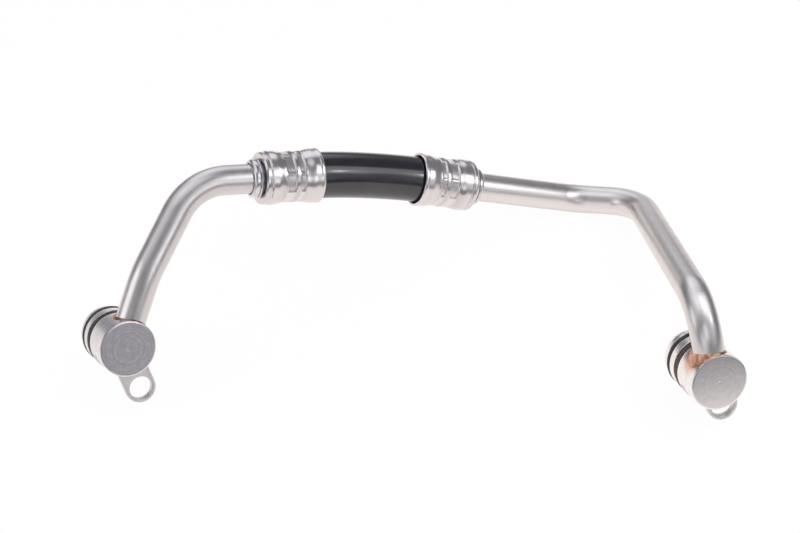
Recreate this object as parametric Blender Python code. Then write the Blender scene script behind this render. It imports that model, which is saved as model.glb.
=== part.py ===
"""Oil feed line for a turbocharger, at real size, lying as it comes to rest.

Two turned plugs, each with two O-rings and a brazed bolt tab, are joined by bent steel pipes
and a short rubber hose that is crimped between two ferrules. Metres, +Z up. The line lies
along X, and the origin is under the middle of it, on the surface that it lies on.
"""

from math import acos, asin, cos, degrees, pi, radians, sin, sqrt, tan

import bmesh
import bpy
from mathutils import Matrix, Vector

MM = 0.001

# Gaps between pieces that seat on each other
SEAT_GAP = 0.3 * MM
BRAZE_GAP = 0.15 * MM

# Bent steel pipe
PIPE_OD = 8.0 * MM
PIPE_WALL = 1.0 * MM
PIPE_SIDES = 20
BEND_STEP = 15.0

# Turned plug, measured along its axis from the closed front face
PLUG_OD = 15.0 * MM
PLUG_LENGTH = 19.8 * MM
PLUG_FRONT_CHAMFER = 0.2 * MM
PLUG_NOSE_OD = 14.0 * MM
PLUG_NOSE_CHAMFER_LENGTH = 1.8 * MM
PLUG_NOSE_CHAMFER_DEPTH = 0.8 * MM
PLUG_BORE = 6.0 * MM
PLUG_BORE_END = 1.8 * MM
PIPE_FOOT = 4.6 * MM
GROOVE_START = 9.1 * MM
GROOVE_WIDTH = 2.3 * MM
GROOVE_PITCH = 4.9 * MM
GROOVE_DEPTH = 2.0 * MM
PLUG_SIDES = 32

# O-rings, which stand a little proud of the plug
O_RING_SECTION = 1.8 * MM
O_RING_SIDES = 24
O_RING_SECTION_SIDES = 7

# Stamped bolt tab: a strip with a round end, forked to sit in a slot under the plug
TAB_START = 6.3 * MM
TAB_THICKNESS = 2.0 * MM
TAB_WIDTH = 8.2 * MM
TAB_HOLE = 6.2 * MM
TAB_SLOT_DEPTH = 1.6 * MM
TAB_FORK_PROUD = 0.2 * MM
TAB_FORK_SIDES = 18
TAB_ROUND_SIDES = 14
TAB_HOLE_SIDES = 24
TAB_BRAZE_LEG = 0.8 * MM

# Turned hose insert, measured along its axis from the end that takes the pipe
INSERT_COLLAR_OD = 10.4 * MM
INSERT_COLLAR_LENGTH = 1.5 * MM
INSERT_COLLAR_ROUND = 0.4 * MM
INSERT_RING_OD = 10.8 * MM
INSERT_RING_LENGTH = 0.6 * MM
INSERT_GROOVE_OD = 9.8 * MM
INSERT_GROOVE_LENGTH = 0.2 * MM
INSERT_NECK_OD = 8.0 * MM
INSERT_SOCKET_DEPTH = 1.6 * MM
INSERT_BORE = 4.6 * MM
INSERT_STEM_OD = 6.2 * MM
INSERT_BARB_OD = 6.9 * MM
INSERT_BARB_PITCH = 3.8 * MM
INSERT_BARB_COUNT = 3
INSERT_SIDES = 20

# Crimped ferrule, with heights along its axis from its closed end
FERRULE_GAP = 0.4 * MM
FERRULE_LENGTH = 16.5 * MM
FERRULE_WALL = 0.8 * MM
FERRULE_END_WALL = 0.9 * MM
FERRULE_END_OD = 13.6 * MM
FERRULE_LIP_OD = 14.1 * MM
FERRULE_LIP_LENGTH = 1.2 * MM
FERRULE_LIP_GROOVE_OD = 13.7 * MM
FERRULE_LIP_GROOVE_LENGTH = 0.5 * MM
FERRULE_SHOULDER_OD = 14.5 * MM
FERRULE_SHOULDER_END = 3.4 * MM
FERRULE_CRIMP_FLAT = 6.45 * MM
FERRULE_CRIMP_CORNER = 6.8 * MM
FERRULE_RIDGE_OD = 13.8 * MM
FERRULE_CRIMP_STARTS = (5.7 * MM, 9.5 * MM)
FERRULE_CRIMP_ENDS = (8.7 * MM, 11.3 * MM)
FERRULE_CRIMP_EDGE = 0.35 * MM
FERRULE_FLARE_START = 12.6 * MM
FERRULE_FLARE_OD = 14.7 * MM
FERRULE_RIM_OD = 14.9 * MM
FERRULE_JAWS = 8
FERRULE_SIDES_PER_JAW = 4

# Rubber hose
HOSE_OD = 12.6 * MM
HOSE_BORE = 7.5 * MM
HOSE_END_GAP = 0.5 * MM
HOSE_STIFFNESS = 0.8
HOSE_SIDES = 20
HOSE_SPAN_STEPS = 8

# Main sizes of the line: across between the pipes' feet, and back from the right foot
FITTING_SPAN = 151.0 * MM
RIGHT_REACH = 79.8 * MM

# Left pipe: its corners from the foot on the plug's axis, as places right, back and up
LEFT_FOOT_X = -75.3 * MM
LEFT_FOOT_Y = -24.7 * MM
LEFT_FOOT_Z = 19.7 * MM
LEFT_KNEE_RIGHT = 6.9 * MM
LEFT_KNEE_BACK = 11.8 * MM
LEFT_KNEE_UP = 13.5 * MM
LEFT_TOP_RIGHT = 19.5 * MM
LEFT_TOP_BACK = 31.7 * MM
LEFT_TOP_UP = 27.2 * MM
LEFT_END_RIGHT = 33.5 * MM
LEFT_END_BACK = 37.0 * MM
LEFT_END_UP = 22.6 * MM
LEFT_KNEE_BEND = 20.0 * MM
LEFT_TOP_BEND = 16.0 * MM
LEFT_PLUG_SWING = 143.5
LEFT_TAB_TURN = -41.6
LEFT_TAB_REACH = 14.2 * MM
LEFT_BRAZE_LEG = 0.8 * MM

# Right pipe: the same, with its corners left of the foot and the farthest one at the back
RIGHT_BACK_Y = 40.3 * MM
RIGHT_FOOT_Z = 15.6 * MM
RIGHT_KNEE_LEFT = 2.7 * MM
RIGHT_KNEE_BACK = 6.8 * MM
RIGHT_KNEE_UP = 18.0 * MM
RIGHT_HEEL_LEFT = 10.7 * MM
RIGHT_HEEL_BEFORE = 5.1 * MM
RIGHT_HEEL_DOWN = 9.8 * MM
RIGHT_BACK_LEFT = 28.7 * MM
RIGHT_BACK_DOWN = 12.1 * MM
RIGHT_END_LEFT = 57.0 * MM
RIGHT_END_BEFORE = 7.0 * MM
RIGHT_END_UP = 0.8 * MM
RIGHT_KNEE_BEND = 11.0 * MM
RIGHT_HEEL_BEND = 13.0 * MM
RIGHT_BACK_BEND = 14.0 * MM
RIGHT_PLUG_SWING = 86.5
RIGHT_TAB_TURN = -13.4
RIGHT_TAB_REACH = 10.9 * MM
RIGHT_BRAZE_LEG = 1.3 * MM

# Sizes that follow from the ones above
LEFT_FOOT = Vector((LEFT_FOOT_X, LEFT_FOOT_Y, LEFT_FOOT_Z))
LEFT_ROUTE = (
    LEFT_FOOT,
    LEFT_FOOT + Vector((LEFT_KNEE_RIGHT, LEFT_KNEE_BACK, LEFT_KNEE_UP)),
    LEFT_FOOT + Vector((LEFT_TOP_RIGHT, LEFT_TOP_BACK, LEFT_TOP_UP)),
    LEFT_FOOT + Vector((LEFT_END_RIGHT, LEFT_END_BACK, LEFT_END_UP)),
)
LEFT_BENDS = (LEFT_KNEE_BEND, LEFT_TOP_BEND)
RIGHT_FOOT = Vector((LEFT_FOOT_X + FITTING_SPAN, RIGHT_BACK_Y - RIGHT_REACH, RIGHT_FOOT_Z))
RIGHT_ROUTE = (
    RIGHT_FOOT,
    RIGHT_FOOT + Vector((-RIGHT_KNEE_LEFT, RIGHT_KNEE_BACK, RIGHT_KNEE_UP)),
    RIGHT_FOOT + Vector((-RIGHT_HEEL_LEFT, RIGHT_REACH - RIGHT_HEEL_BEFORE, -RIGHT_HEEL_DOWN)),
    RIGHT_FOOT + Vector((-RIGHT_BACK_LEFT, RIGHT_REACH, -RIGHT_BACK_DOWN)),
    RIGHT_FOOT + Vector((-RIGHT_END_LEFT, RIGHT_REACH - RIGHT_END_BEFORE, RIGHT_END_UP)),
)
RIGHT_BENDS = (RIGHT_KNEE_BEND, RIGHT_HEEL_BEND, RIGHT_BACK_BEND)
PIPE_RADIUS = PIPE_OD / 2
PLUG_RADIUS = PLUG_OD / 2
GROOVE_RADIUS = PLUG_RADIUS - GROOVE_DEPTH
O_RING_RADIUS = GROOVE_RADIUS + SEAT_GAP + O_RING_SECTION / 2
INSERT_COLLAR_END = INSERT_COLLAR_LENGTH + INSERT_GROOVE_LENGTH + INSERT_RING_LENGTH
FERRULE_START = INSERT_COLLAR_END + FERRULE_GAP
FERRULE_SIDES = FERRULE_JAWS * FERRULE_SIDES_PER_JAW
HOSE_START = FERRULE_START + FERRULE_END_WALL + HOSE_END_GAP


def clear_scene():
    for old in list(bpy.data.objects):
        bpy.data.objects.remove(old, do_unlink=True)


def make_material(name, colour, roughness, metallic):
    material = bpy.data.materials.new(name)
    material.use_nodes = True
    shader = material.node_tree.nodes["Principled BSDF"]
    shader.inputs["Base Color"].default_value = (*colour, 1.0)
    shader.inputs["Roughness"].default_value = roughness
    shader.inputs["Metallic"].default_value = metallic
    return material


def make_materials():
    return {
        "pipe": make_material("satin_steel", (0.58, 0.56, 0.55), 0.28, 1.0),
        "plug": make_material("turned_steel", (0.52, 0.50, 0.50), 0.38, 1.0),
        "tab": make_material("stamped_steel", (0.55, 0.54, 0.54), 0.45, 1.0),
        "ferrule": make_material("bright_steel", (0.66, 0.64, 0.63), 0.18, 1.0),
        "braze": make_material("copper_braze", (0.62, 0.30, 0.17), 0.35, 1.0),
        "hose": make_material("hose_rubber", (0.012, 0.012, 0.016), 0.42, 0.0),
        "black_ring": make_material("black_o_ring", (0.015, 0.015, 0.016), 0.5, 0.0),
        "brown_ring": make_material("brown_o_ring", (0.055, 0.030, 0.026), 0.5, 0.0),
    }


def circle_ring(radius, height, sides, frame=None):
    """Points of a circle round the local Z axis, or round the axis of a frame."""
    points = []
    for i in range(sides):
        angle = 2 * pi * i / sides
        point = Vector((radius * cos(angle), radius * sin(angle), height))
        points.append(frame @ point if frame else point)
    return points


def skin(rings, closed):
    """A solid whose skin runs from ring to ring, either round to the first or capped."""
    shape = bmesh.new()
    rows = [[shape.verts.new(point) for point in ring] for ring in rings]
    pairs = list(zip(rows, rows[1:]))
    if closed:
        pairs.append((rows[-1], rows[0]))
    for one, other in pairs:
        count = len(one)
        for i in range(count):
            j = (i + 1) % count
            shape.faces.new((one[i], one[j], other[j], other[i]))
    if not closed:
        shape.faces.new(list(reversed(rows[0])))
        shape.faces.new(rows[-1])
    bmesh.ops.recalc_face_normals(shape, faces=shape.faces)
    return shape


def add_object(name, shape, matrix, parent, material=None, smooth_angle=40.0):
    mesh = bpy.data.meshes.new(name)
    shape.to_mesh(mesh)
    shape.free()
    made = bpy.data.objects.new(name, mesh)
    bpy.context.scene.collection.objects.link(made)
    made.parent = parent
    made.matrix_local = matrix
    if material:
        mesh.materials.append(material)
        mesh.shade_smooth()
        mesh.set_sharp_from_angle(angle=radians(smooth_angle))
    return made


def add_cutter(name, shape, matrix, parent, target):
    cutter = add_object(name, shape, matrix, parent)
    cutter.hide_render = True
    cutter.display_type = "WIRE"
    cut = target.modifiers.new(name, "BOOLEAN")
    cut.operation = "DIFFERENCE"
    cut.solver = "EXACT"
    cut.object = cutter
    return cutter


def turned(profile, sides, closed):
    """A piece turned about Z from (height, radius) pairs."""
    return skin([circle_ring(radius, height, sides) for height, radius in profile], closed)


def frame_from(place, along, side):
    """A frame at a place, with Z along one direction and X as near another as it can be."""
    z = along.normalized()
    x = (side - z * side.dot(z)).normalized()
    y = z.cross(x)
    matrix = Matrix((x, y, z)).transposed().to_4x4()
    matrix.translation = place
    return matrix


def bent_path(corners, bends):
    """Stations of a pipe's centre line as (place, direction), with an arc at each inner corner."""
    stations = [(corners[0], (corners[1] - corners[0]).normalized())]
    for i, bend in enumerate(bends, start=1):
        before = (corners[i] - corners[i - 1]).normalized()
        after = (corners[i + 1] - corners[i]).normalized()
        turn = acos(max(-1.0, min(1.0, before.dot(after))))
        inward = (after - before * before.dot(after)).normalized()
        start = corners[i] - before * bend * tan(turn / 2)
        centre = start + inward * bend
        steps = max(2, round(degrees(turn) / BEND_STEP))
        for k in range(steps + 1):
            angle = turn * k / steps
            place = centre - inward * bend * cos(angle) + before * bend * sin(angle)
            stations.append((place, before * cos(angle) + inward * sin(angle)))
    last = (corners[-1] - corners[-2]).normalized()
    stations.append((corners[-1], last))
    return stations


def path_frames(stations, side):
    """A frame at each station, carried along the path without twisting."""
    frames = []
    for place, along in stations:
        frame = frame_from(place, along, side)
        side = frame.to_3x3().col[0].copy()
        frames.append(frame)
    return frames


def swept_tube(frames, outer, inner, sides):
    """A tube through frames, with one outer radius for each of them and one bore."""
    rings = [circle_ring(radius, 0.0, sides, frame) for frame, radius in zip(frames, outer)]
    rings += [circle_ring(inner, 0.0, sides, frame) for frame in reversed(frames)]
    return skin(rings, closed=True)


def plug_frame(route, swing, tab_turn):
    """The plug's frame on its front face: Z runs to the nose, X points to the bolt tab.

    The pipe stands square on the plug. Swing turns the plug about the pipe's first leg, and
    tab_turn turns the tab about the plug, from the side opposite the pipe.
    """
    leg = (route[1] - route[0]).normalized()
    level = leg.cross(Vector((0.0, 0.0, 1.0))).normalized()
    other = leg.cross(level)
    axis = level * cos(radians(swing)) + other * sin(radians(swing))
    away = -leg
    across = axis.cross(away)
    tab = away * cos(radians(tab_turn)) + across * sin(radians(tab_turn))
    return frame_from(route[0] - axis * PIPE_FOOT, axis, tab)


def plug_profile():
    """Half section of the plug, from its front face round its nose into the blind bore."""
    profile = [
        (0.0, PLUG_RADIUS - PLUG_FRONT_CHAMFER),
        (PLUG_FRONT_CHAMFER, PLUG_RADIUS),
    ]
    for start in (GROOVE_START, GROOVE_START + GROOVE_PITCH):
        profile += [
            (start, PLUG_RADIUS),
            (start, GROOVE_RADIUS),
            (start + GROOVE_WIDTH, GROOVE_RADIUS),
            (start + GROOVE_WIDTH, PLUG_RADIUS),
        ]
    nose = PLUG_NOSE_OD / 2
    profile[-1] = (profile[-1][0], nose)
    profile += [
        (PLUG_LENGTH - PLUG_NOSE_CHAMFER_LENGTH, nose),
        (PLUG_LENGTH, nose - PLUG_NOSE_CHAMFER_DEPTH),
        (PLUG_LENGTH, PLUG_BORE / 2),
        (PLUG_BORE_END, PLUG_BORE / 2),
    ]
    return profile


def flat_plate(outline, start, thickness):
    """A plate of one outline in the XY plane, standing on a height along Z."""
    low = [Vector((x, y, start)) for x, y in outline]
    high = [Vector((x, y, start + thickness)) for x, y in outline]
    return skin([low, high], closed=False)


def fork_slot_outline():
    """The slot milled round the underside of the plug, a little larger than the fork in it."""
    bottom = PLUG_RADIUS - TAB_SLOT_DEPTH
    outside = PLUG_RADIUS + TAB_FORK_PROUD + SEAT_GAP
    back = -SEAT_GAP
    inner = [arc_point(bottom, 90 - 180 * i / TAB_FORK_SIDES) for i in range(TAB_FORK_SIDES + 1)]
    outer = [arc_point(outside, -90 + 180 * i / TAB_FORK_SIDES) for i in range(TAB_FORK_SIDES + 1)]
    ends = [(back, -bottom), (back, -outside)]
    return inner + ends + outer + [(back, outside), (back, bottom)]


def arc_point(radius, angle, centre=0.0):
    return (centre + radius * cos(radians(angle)), radius * sin(radians(angle)))


def tab_outline(reach):
    """Outline of the bolt tab, with +X to the hole: fork, parallel sides and round end."""
    half = TAB_WIDTH / 2
    fork_in = PLUG_RADIUS - TAB_SLOT_DEPTH + SEAT_GAP
    fork_out = PLUG_RADIUS + TAB_FORK_PROUD
    meet = degrees(asin(half / fork_out))
    steps = TAB_FORK_SIDES // 3
    outline = [arc_point(fork_out, -90 + (90 - meet) * i / steps) for i in range(steps + 1)]
    outline += [
        arc_point(half, -90 + 180 * i / TAB_ROUND_SIDES, reach) for i in range(TAB_ROUND_SIDES + 1)
    ]
    outline += [arc_point(fork_out, meet + (90 - meet) * i / steps) for i in range(steps + 1)]
    outline += [
        arc_point(fork_in, 90 - 180 * i / TAB_FORK_SIDES) for i in range(TAB_FORK_SIDES + 1)
    ]
    return outline


def add_plug(side, frame, leg, parent, materials):
    name = f"{side}_plug_body"
    shape = turned(plug_profile(), PLUG_SIDES, closed=False)
    body = add_object(name, shape, frame, parent, materials["plug"])

    port = skin(
        [
            circle_ring(PIPE_RADIUS - PIPE_WALL, 0.0, PIPE_SIDES),
            circle_ring(PIPE_RADIUS - PIPE_WALL, PLUG_OD, PIPE_SIDES),
        ],
        closed=False,
    )
    port_frame = frame_from(frame @ Vector((0.0, 0.0, PIPE_FOOT)), leg, frame.to_3x3().col[2])
    add_cutter(f"{side}_port_cutter", port, port_frame, parent, body)

    slot = flat_plate(
        fork_slot_outline(), TAB_START - SEAT_GAP, TAB_THICKNESS + 2 * SEAT_GAP
    )
    add_cutter(f"{side}_slot_cutter", slot, frame, parent, body)


def add_o_rings(side, frame, parent, materials):
    finishes = {
        "left": {"inner": "black_ring", "outer": "black_ring"},
        "right": {"inner": "brown_ring", "outer": "black_ring"},
    }
    for i, which in enumerate(("inner", "outer")):
        middle = GROOVE_START + GROOVE_PITCH * i + GROOVE_WIDTH / 2
        rings = []
        for k in range(O_RING_SECTION_SIDES):
            angle = 2 * pi * k / O_RING_SECTION_SIDES
            radius = O_RING_RADIUS + O_RING_SECTION / 2 * cos(angle)
            height = middle + O_RING_SECTION / 2 * sin(angle)
            rings.append(circle_ring(radius, height, O_RING_SIDES))
        finish = materials[finishes[side][which]]
        add_object(f"{side}_o_ring_{which}", skin(rings, closed=True), frame, parent, finish, 80.0)


def add_bolt_tab(side, frame, reach, parent, materials):
    plate = flat_plate(tab_outline(reach), TAB_START, TAB_THICKNESS)
    tab = add_object(f"{side}_bolt_tab", plate, frame, parent, materials["tab"])
    hole = turned(
        [
            (TAB_START - TAB_THICKNESS, TAB_HOLE / 2),
            (TAB_START + 2 * TAB_THICKNESS, TAB_HOLE / 2),
        ],
        TAB_HOLE_SIDES,
        closed=False,
    )
    hole_frame = frame @ Matrix.Translation((reach, 0.0, 0.0))
    add_cutter(f"{side}_bolt_hole_cutter", hole, hole_frame, parent, tab)


def add_tab_braze(side, frame, parent, materials):
    """Fillet of braze in the corner between the plug and the front of its tab."""
    near = PLUG_RADIUS + BRAZE_GAP
    far = near + TAB_BRAZE_LEG
    face = TAB_START - BRAZE_GAP
    spread = degrees(asin((TAB_WIDTH / 2 - SEAT_GAP) / far))
    steps = TAB_ROUND_SIDES // 2
    rings = []
    for i in range(steps + 1):
        angle = -spread + 2 * spread * i / steps
        corners = ((near, face), (far, face), (near, face - TAB_BRAZE_LEG))
        rings.append([Vector((*arc_point(radius, angle), height)) for radius, height in corners])
    add_object(f"{side}_tab_braze", skin(rings, closed=False), frame, parent, materials["braze"])


def add_tube_braze(side, frame, leg, size, parent, materials):
    """Ring of braze round the pipe's foot, where it stands on the round plug.

    It stays narrow where the pipe comes close to the front face and to the first groove.
    """
    near = PIPE_RADIUS + BRAZE_GAP
    room = min(PIPE_FOOT, GROOVE_START - PIPE_FOOT) - BRAZE_GAP / 2
    axis = frame.to_3x3().col[2]
    foot = frame_from(frame @ Vector((0.0, 0.0, PIPE_FOOT)), leg, axis)
    rings = []
    for i in range(PIPE_SIDES):
        angle = 2 * pi * i / PIPE_SIDES
        reach = near + size
        if abs(cos(angle)) * reach > room:
            reach = max(room / abs(cos(angle)), near + BRAZE_GAP)
        rings.append(
            [
                saddle_point(near, angle, BRAZE_GAP),
                saddle_point(near, angle, BRAZE_GAP + size),
                saddle_point(reach, angle, 2 * BRAZE_GAP),
                saddle_point(reach, angle, BRAZE_GAP),
            ]
        )
    add_object(f"{side}_tube_braze", skin(rings, closed=True), foot, parent, materials["braze"])


def saddle_point(radius, angle, lift):
    """A point round the pipe at a lift above the plug's surface, in the pipe foot's frame."""
    across = radius * sin(angle)
    height = sqrt(max(0.0, PLUG_RADIUS**2 - across**2)) + lift
    return Vector((radius * cos(angle), across, height))


def add_pipe(side, route, bends, frame, parent, materials):
    """Bent pipe from its foot, cut to the round of the plug, to the socket of the insert."""
    last = (route[-1] - route[-2]).normalized()
    corners = list(route)
    corners[-1] = route[-1] + last * (INSERT_SOCKET_DEPTH - SEAT_GAP)
    frames = path_frames(bent_path(corners, bends), frame.to_3x3().col[2])
    outer = [PIPE_RADIUS] * len(frames)
    shape = swept_tube(frames, outer, PIPE_RADIUS - PIPE_WALL, PIPE_SIDES)
    pipe = add_object(f"{side}_pipe", shape, Matrix(), parent, materials["pipe"])

    saddle = turned(
        [
            (-PLUG_OD, PLUG_RADIUS + SEAT_GAP),
            (PLUG_LENGTH + PLUG_OD, PLUG_RADIUS + SEAT_GAP),
        ],
        PLUG_SIDES,
        closed=False,
    )
    add_cutter(f"{side}_saddle_cutter", saddle, frame, parent, pipe)


def insert_profile():
    """Closed half section of the hose insert, with its barbs and the socket for the pipe."""
    collar = INSERT_COLLAR_OD / 2
    ring = INSERT_RING_OD / 2
    groove = INSERT_GROOVE_OD / 2
    neck = INSERT_NECK_OD / 2
    stem = INSERT_STEM_OD / 2
    barb = INSERT_BARB_OD / 2
    bore = INSERT_BORE / 2
    socket = PIPE_RADIUS + BRAZE_GAP
    ring_start = INSERT_COLLAR_LENGTH + INSERT_GROOVE_LENGTH
    neck_end = FERRULE_START + FERRULE_END_WALL + HOSE_END_GAP
    profile = [
        (0.0, collar - INSERT_COLLAR_ROUND),
        (INSERT_COLLAR_ROUND, collar),
        (INSERT_COLLAR_LENGTH - INSERT_COLLAR_ROUND, collar),
        (INSERT_COLLAR_LENGTH, groove),
        (ring_start, groove),
        (ring_start, ring),
        (INSERT_COLLAR_END, ring),
        (INSERT_COLLAR_END, neck),
        (neck_end - HOSE_END_GAP / 2, neck),
        (neck_end - HOSE_END_GAP / 2, stem),
    ]
    for i in range(INSERT_BARB_COUNT):
        start = neck_end + INSERT_BARB_PITCH * (i + 0.25)
        profile += [
            (start, stem),
            (start, barb),
            (start + INSERT_BARB_PITCH / 2, stem),
        ]
    end = neck_end + INSERT_BARB_PITCH * (INSERT_BARB_COUNT + 0.25)
    profile += [
        (end, stem),
        (end, bore),
        (INSERT_SOCKET_DEPTH, bore),
        (INSERT_SOCKET_DEPTH, socket),
        (0.0, socket),
    ]
    return profile


def ferrule_profile():
    """Outside of the ferrule from closed end to mouth, as (height, radius, share of crimp)."""
    lip = FERRULE_LIP_OD / 2
    ridge = FERRULE_RIDGE_OD / 2
    groove_end = FERRULE_LIP_LENGTH + FERRULE_LIP_GROOVE_LENGTH
    profile = [
        (0.0, FERRULE_END_OD / 2, 0.0),
        (FERRULE_LIP_LENGTH / 3, lip, 0.0),
        (FERRULE_LIP_LENGTH, lip, 0.0),
        (FERRULE_LIP_LENGTH, FERRULE_LIP_GROOVE_OD / 2, 0.0),
        (groove_end, FERRULE_LIP_GROOVE_OD / 2, 0.0),
        (groove_end, FERRULE_SHOULDER_OD / 2, 0.0),
        (FERRULE_SHOULDER_END, FERRULE_SHOULDER_OD / 2, 0.0),
    ]
    for start, end in zip(FERRULE_CRIMP_STARTS, FERRULE_CRIMP_ENDS):
        profile += [
            (start, ridge, 0.0),
            (start + FERRULE_CRIMP_EDGE, ridge, 1.0),
            (end - FERRULE_CRIMP_EDGE, ridge, 1.0),
            (end, ridge, 0.0),
        ]
    profile += [
        (FERRULE_FLARE_START, FERRULE_FLARE_OD / 2, 0.0),
        (FERRULE_LENGTH - FERRULE_WALL, FERRULE_RIM_OD / 2, 0.0),
        (FERRULE_LENGTH, FERRULE_RIM_OD / 2 - FERRULE_WALL / 4, 0.0),
    ]
    return profile


def ferrule_outside(radius, crimp, angle):
    """Radius of the ferrule at an angle: round, or flattened where the crimping jaws closed."""
    sector = 2 * pi / FERRULE_JAWS
    from_flat = abs((angle + sector / 2) % sector - sector / 2)
    pressed = min(FERRULE_CRIMP_FLAT / cos(from_flat), FERRULE_CRIMP_CORNER)
    return radius * (1 - crimp) + pressed * crimp


def ferrule_inside(height):
    """Radius of the ferrule's bore at a height, round all the way."""
    wall = FERRULE_WALL
    shoulder = FERRULE_SHOULDER_OD / 2 - wall
    crimp = FERRULE_CRIMP_FLAT - wall
    mouth = FERRULE_RIM_OD / 2 - wall
    points = (
        (FERRULE_END_WALL, shoulder - wall / 2),
        (FERRULE_SHOULDER_END, shoulder - wall / 2),
        (FERRULE_CRIMP_STARTS[0], crimp),
        (FERRULE_CRIMP_ENDS[1], crimp),
        (FERRULE_FLARE_START + wall, mouth - wall / 4),
        (FERRULE_LENGTH, mouth),
    )
    for (low, start), (high, end) in zip(points, points[1:]):
        if height <= high:
            return start + (end - start) * max(0.0, height - low) / (high - low)
    return mouth


def inside_heights():
    return (
        FERRULE_END_WALL,
        FERRULE_SHOULDER_END,
        FERRULE_CRIMP_STARTS[0],
        FERRULE_CRIMP_ENDS[1],
        FERRULE_FLARE_START + FERRULE_WALL,
        FERRULE_LENGTH,
    )


def add_ferrule(side, frame, parent, materials):
    rings = []
    for height, radius, crimp in ferrule_profile():
        ring = []
        for i in range(FERRULE_SIDES):
            angle = 2 * pi * i / FERRULE_SIDES
            reach = ferrule_outside(radius, crimp, angle)
            ring.append(Vector((reach * cos(angle), reach * sin(angle), FERRULE_START + height)))
        rings.append(ring)
    for height in reversed(inside_heights()):
        rings.append(circle_ring(ferrule_inside(height), FERRULE_START + height, FERRULE_SIDES))
    neck_hole = INSERT_NECK_OD / 2 + SEAT_GAP
    rings.append(circle_ring(neck_hole, FERRULE_START + FERRULE_END_WALL, FERRULE_SIDES))
    rings.append(circle_ring(neck_hole, FERRULE_START, FERRULE_SIDES))
    shape = skin(rings, closed=True)
    add_object(f"{side}_ferrule", shape, frame, parent, materials["ferrule"], 25.0)


def add_hose_end(side, route, parent, materials):
    """The insert and the ferrule on the end of a pipe. Returns the frame that they share."""
    along = route[-1] - route[-2]
    frame = frame_from(route[-1], along, Vector((0.0, 0.0, 1.0)))
    insert = turned(insert_profile(), INSERT_SIDES, closed=True)
    add_object(f"{side}_hose_insert", insert, frame, parent, materials["plug"])
    add_ferrule(side, frame, parent, materials)
    return frame


def hose_stations(left, right):
    """Centre line and outer radius of the hose, from inside one ferrule to inside the other."""
    heights = [HOSE_START]
    heights += [FERRULE_START + height for height in inside_heights()[1:]]
    grip = [
        min(ferrule_inside(height - FERRULE_START) - SEAT_GAP, HOSE_OD / 2) for height in heights
    ]

    def ends(frame):
        axis = frame.to_3x3().col[2]
        return [(frame.translation + axis * height, axis) for height in heights]

    first = [(place, axis, radius) for (place, axis), radius in zip(ends(left), grip)]
    last = [(place, -axis, radius) for (place, axis), radius in zip(ends(right), grip)]
    last.reverse()
    start, start_along, _ = first[-1]
    end, end_along, _ = last[0]
    pull = (end - start).length * HOSE_STIFFNESS
    middle = []
    for k in range(1, HOSE_SPAN_STEPS):
        t = k / HOSE_SPAN_STEPS
        place = (
            start * (2 * t**3 - 3 * t**2 + 1)
            + start_along * pull * (t**3 - 2 * t**2 + t)
            + end * (3 * t**2 - 2 * t**3)
            + end_along * pull * (t**3 - t**2)
        )
        along = (
            start * (6 * t**2 - 6 * t)
            + start_along * pull * (3 * t**2 - 4 * t + 1)
            + end * (6 * t - 6 * t**2)
            + end_along * pull * (3 * t**2 - 2 * t)
        ).normalized()
        middle.append((place, along, HOSE_OD / 2))
    return first + middle + last


def add_hose(left, right, parent, materials):
    stations = hose_stations(left, right)
    frames = path_frames([(place, along) for place, along, _ in stations], Vector((0, 0, 1)))
    outer = [radius for _, _, radius in stations]
    shape = swept_tube(frames, outer, HOSE_BORE / 2, HOSE_SIDES)
    add_object("hose", shape, Matrix(), parent, materials["hose"])


def add_side(side, route, bends, swing, tab_turn, reach, braze, parent, materials):
    """Everything on one side of the hose. Returns the frame of its hose end."""
    frame = plug_frame(route, swing, tab_turn)
    leg = route[1] - route[0]
    add_plug(side, frame, leg, parent, materials)
    add_o_rings(side, frame, parent, materials)
    add_bolt_tab(side, frame, reach, parent, materials)
    add_tab_braze(side, frame, parent, materials)
    add_tube_braze(side, frame, leg, braze, parent, materials)
    add_pipe(side, route, bends, frame, parent, materials)
    return add_hose_end(side, route, parent, materials)


def set_down(parent):
    """Moves the line so that the origin is under its middle, at the lowest point."""
    bpy.context.view_layer.update()
    graph = bpy.context.evaluated_depsgraph_get()
    points = []
    for made in parent.children:
        if made.hide_render:
            continue
        evaluated = made.evaluated_get(graph)
        mesh = evaluated.to_mesh()
        points += [evaluated.matrix_world @ vertex.co for vertex in mesh.vertices]
        evaluated.to_mesh_clear()
    low = Vector([min(point[i] for point in points) for i in range(3)])
    high = Vector([max(point[i] for point in points) for i in range(3)])
    middle = (low + high) / 2
    parent.location = (-middle.x, -middle.y, -low.z)


def main():
    clear_scene()
    materials = make_materials()
    line = bpy.data.objects.new("oil_feed_line", None)
    bpy.context.scene.collection.objects.link(line)
    left = add_side(
        "left",
        LEFT_ROUTE,
        LEFT_BENDS,
        LEFT_PLUG_SWING,
        LEFT_TAB_TURN,
        LEFT_TAB_REACH,
        LEFT_BRAZE_LEG,
        line,
        materials,
    )
    right = add_side(
        "right",
        RIGHT_ROUTE,
        RIGHT_BENDS,
        RIGHT_PLUG_SWING,
        RIGHT_TAB_TURN,
        RIGHT_TAB_REACH,
        RIGHT_BRAZE_LEG,
        line,
        materials,
    )
    add_hose(left, right, line, materials)
    set_down(line)


main()
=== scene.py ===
"""Looks of the turbocharger's oil feed line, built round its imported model."""

from math import acos, asin, atan2, cos, degrees, exp, pi, radians, sin, sqrt, tan

import bmesh
import bpy
from mathutils import Matrix, Vector, noise


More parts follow.
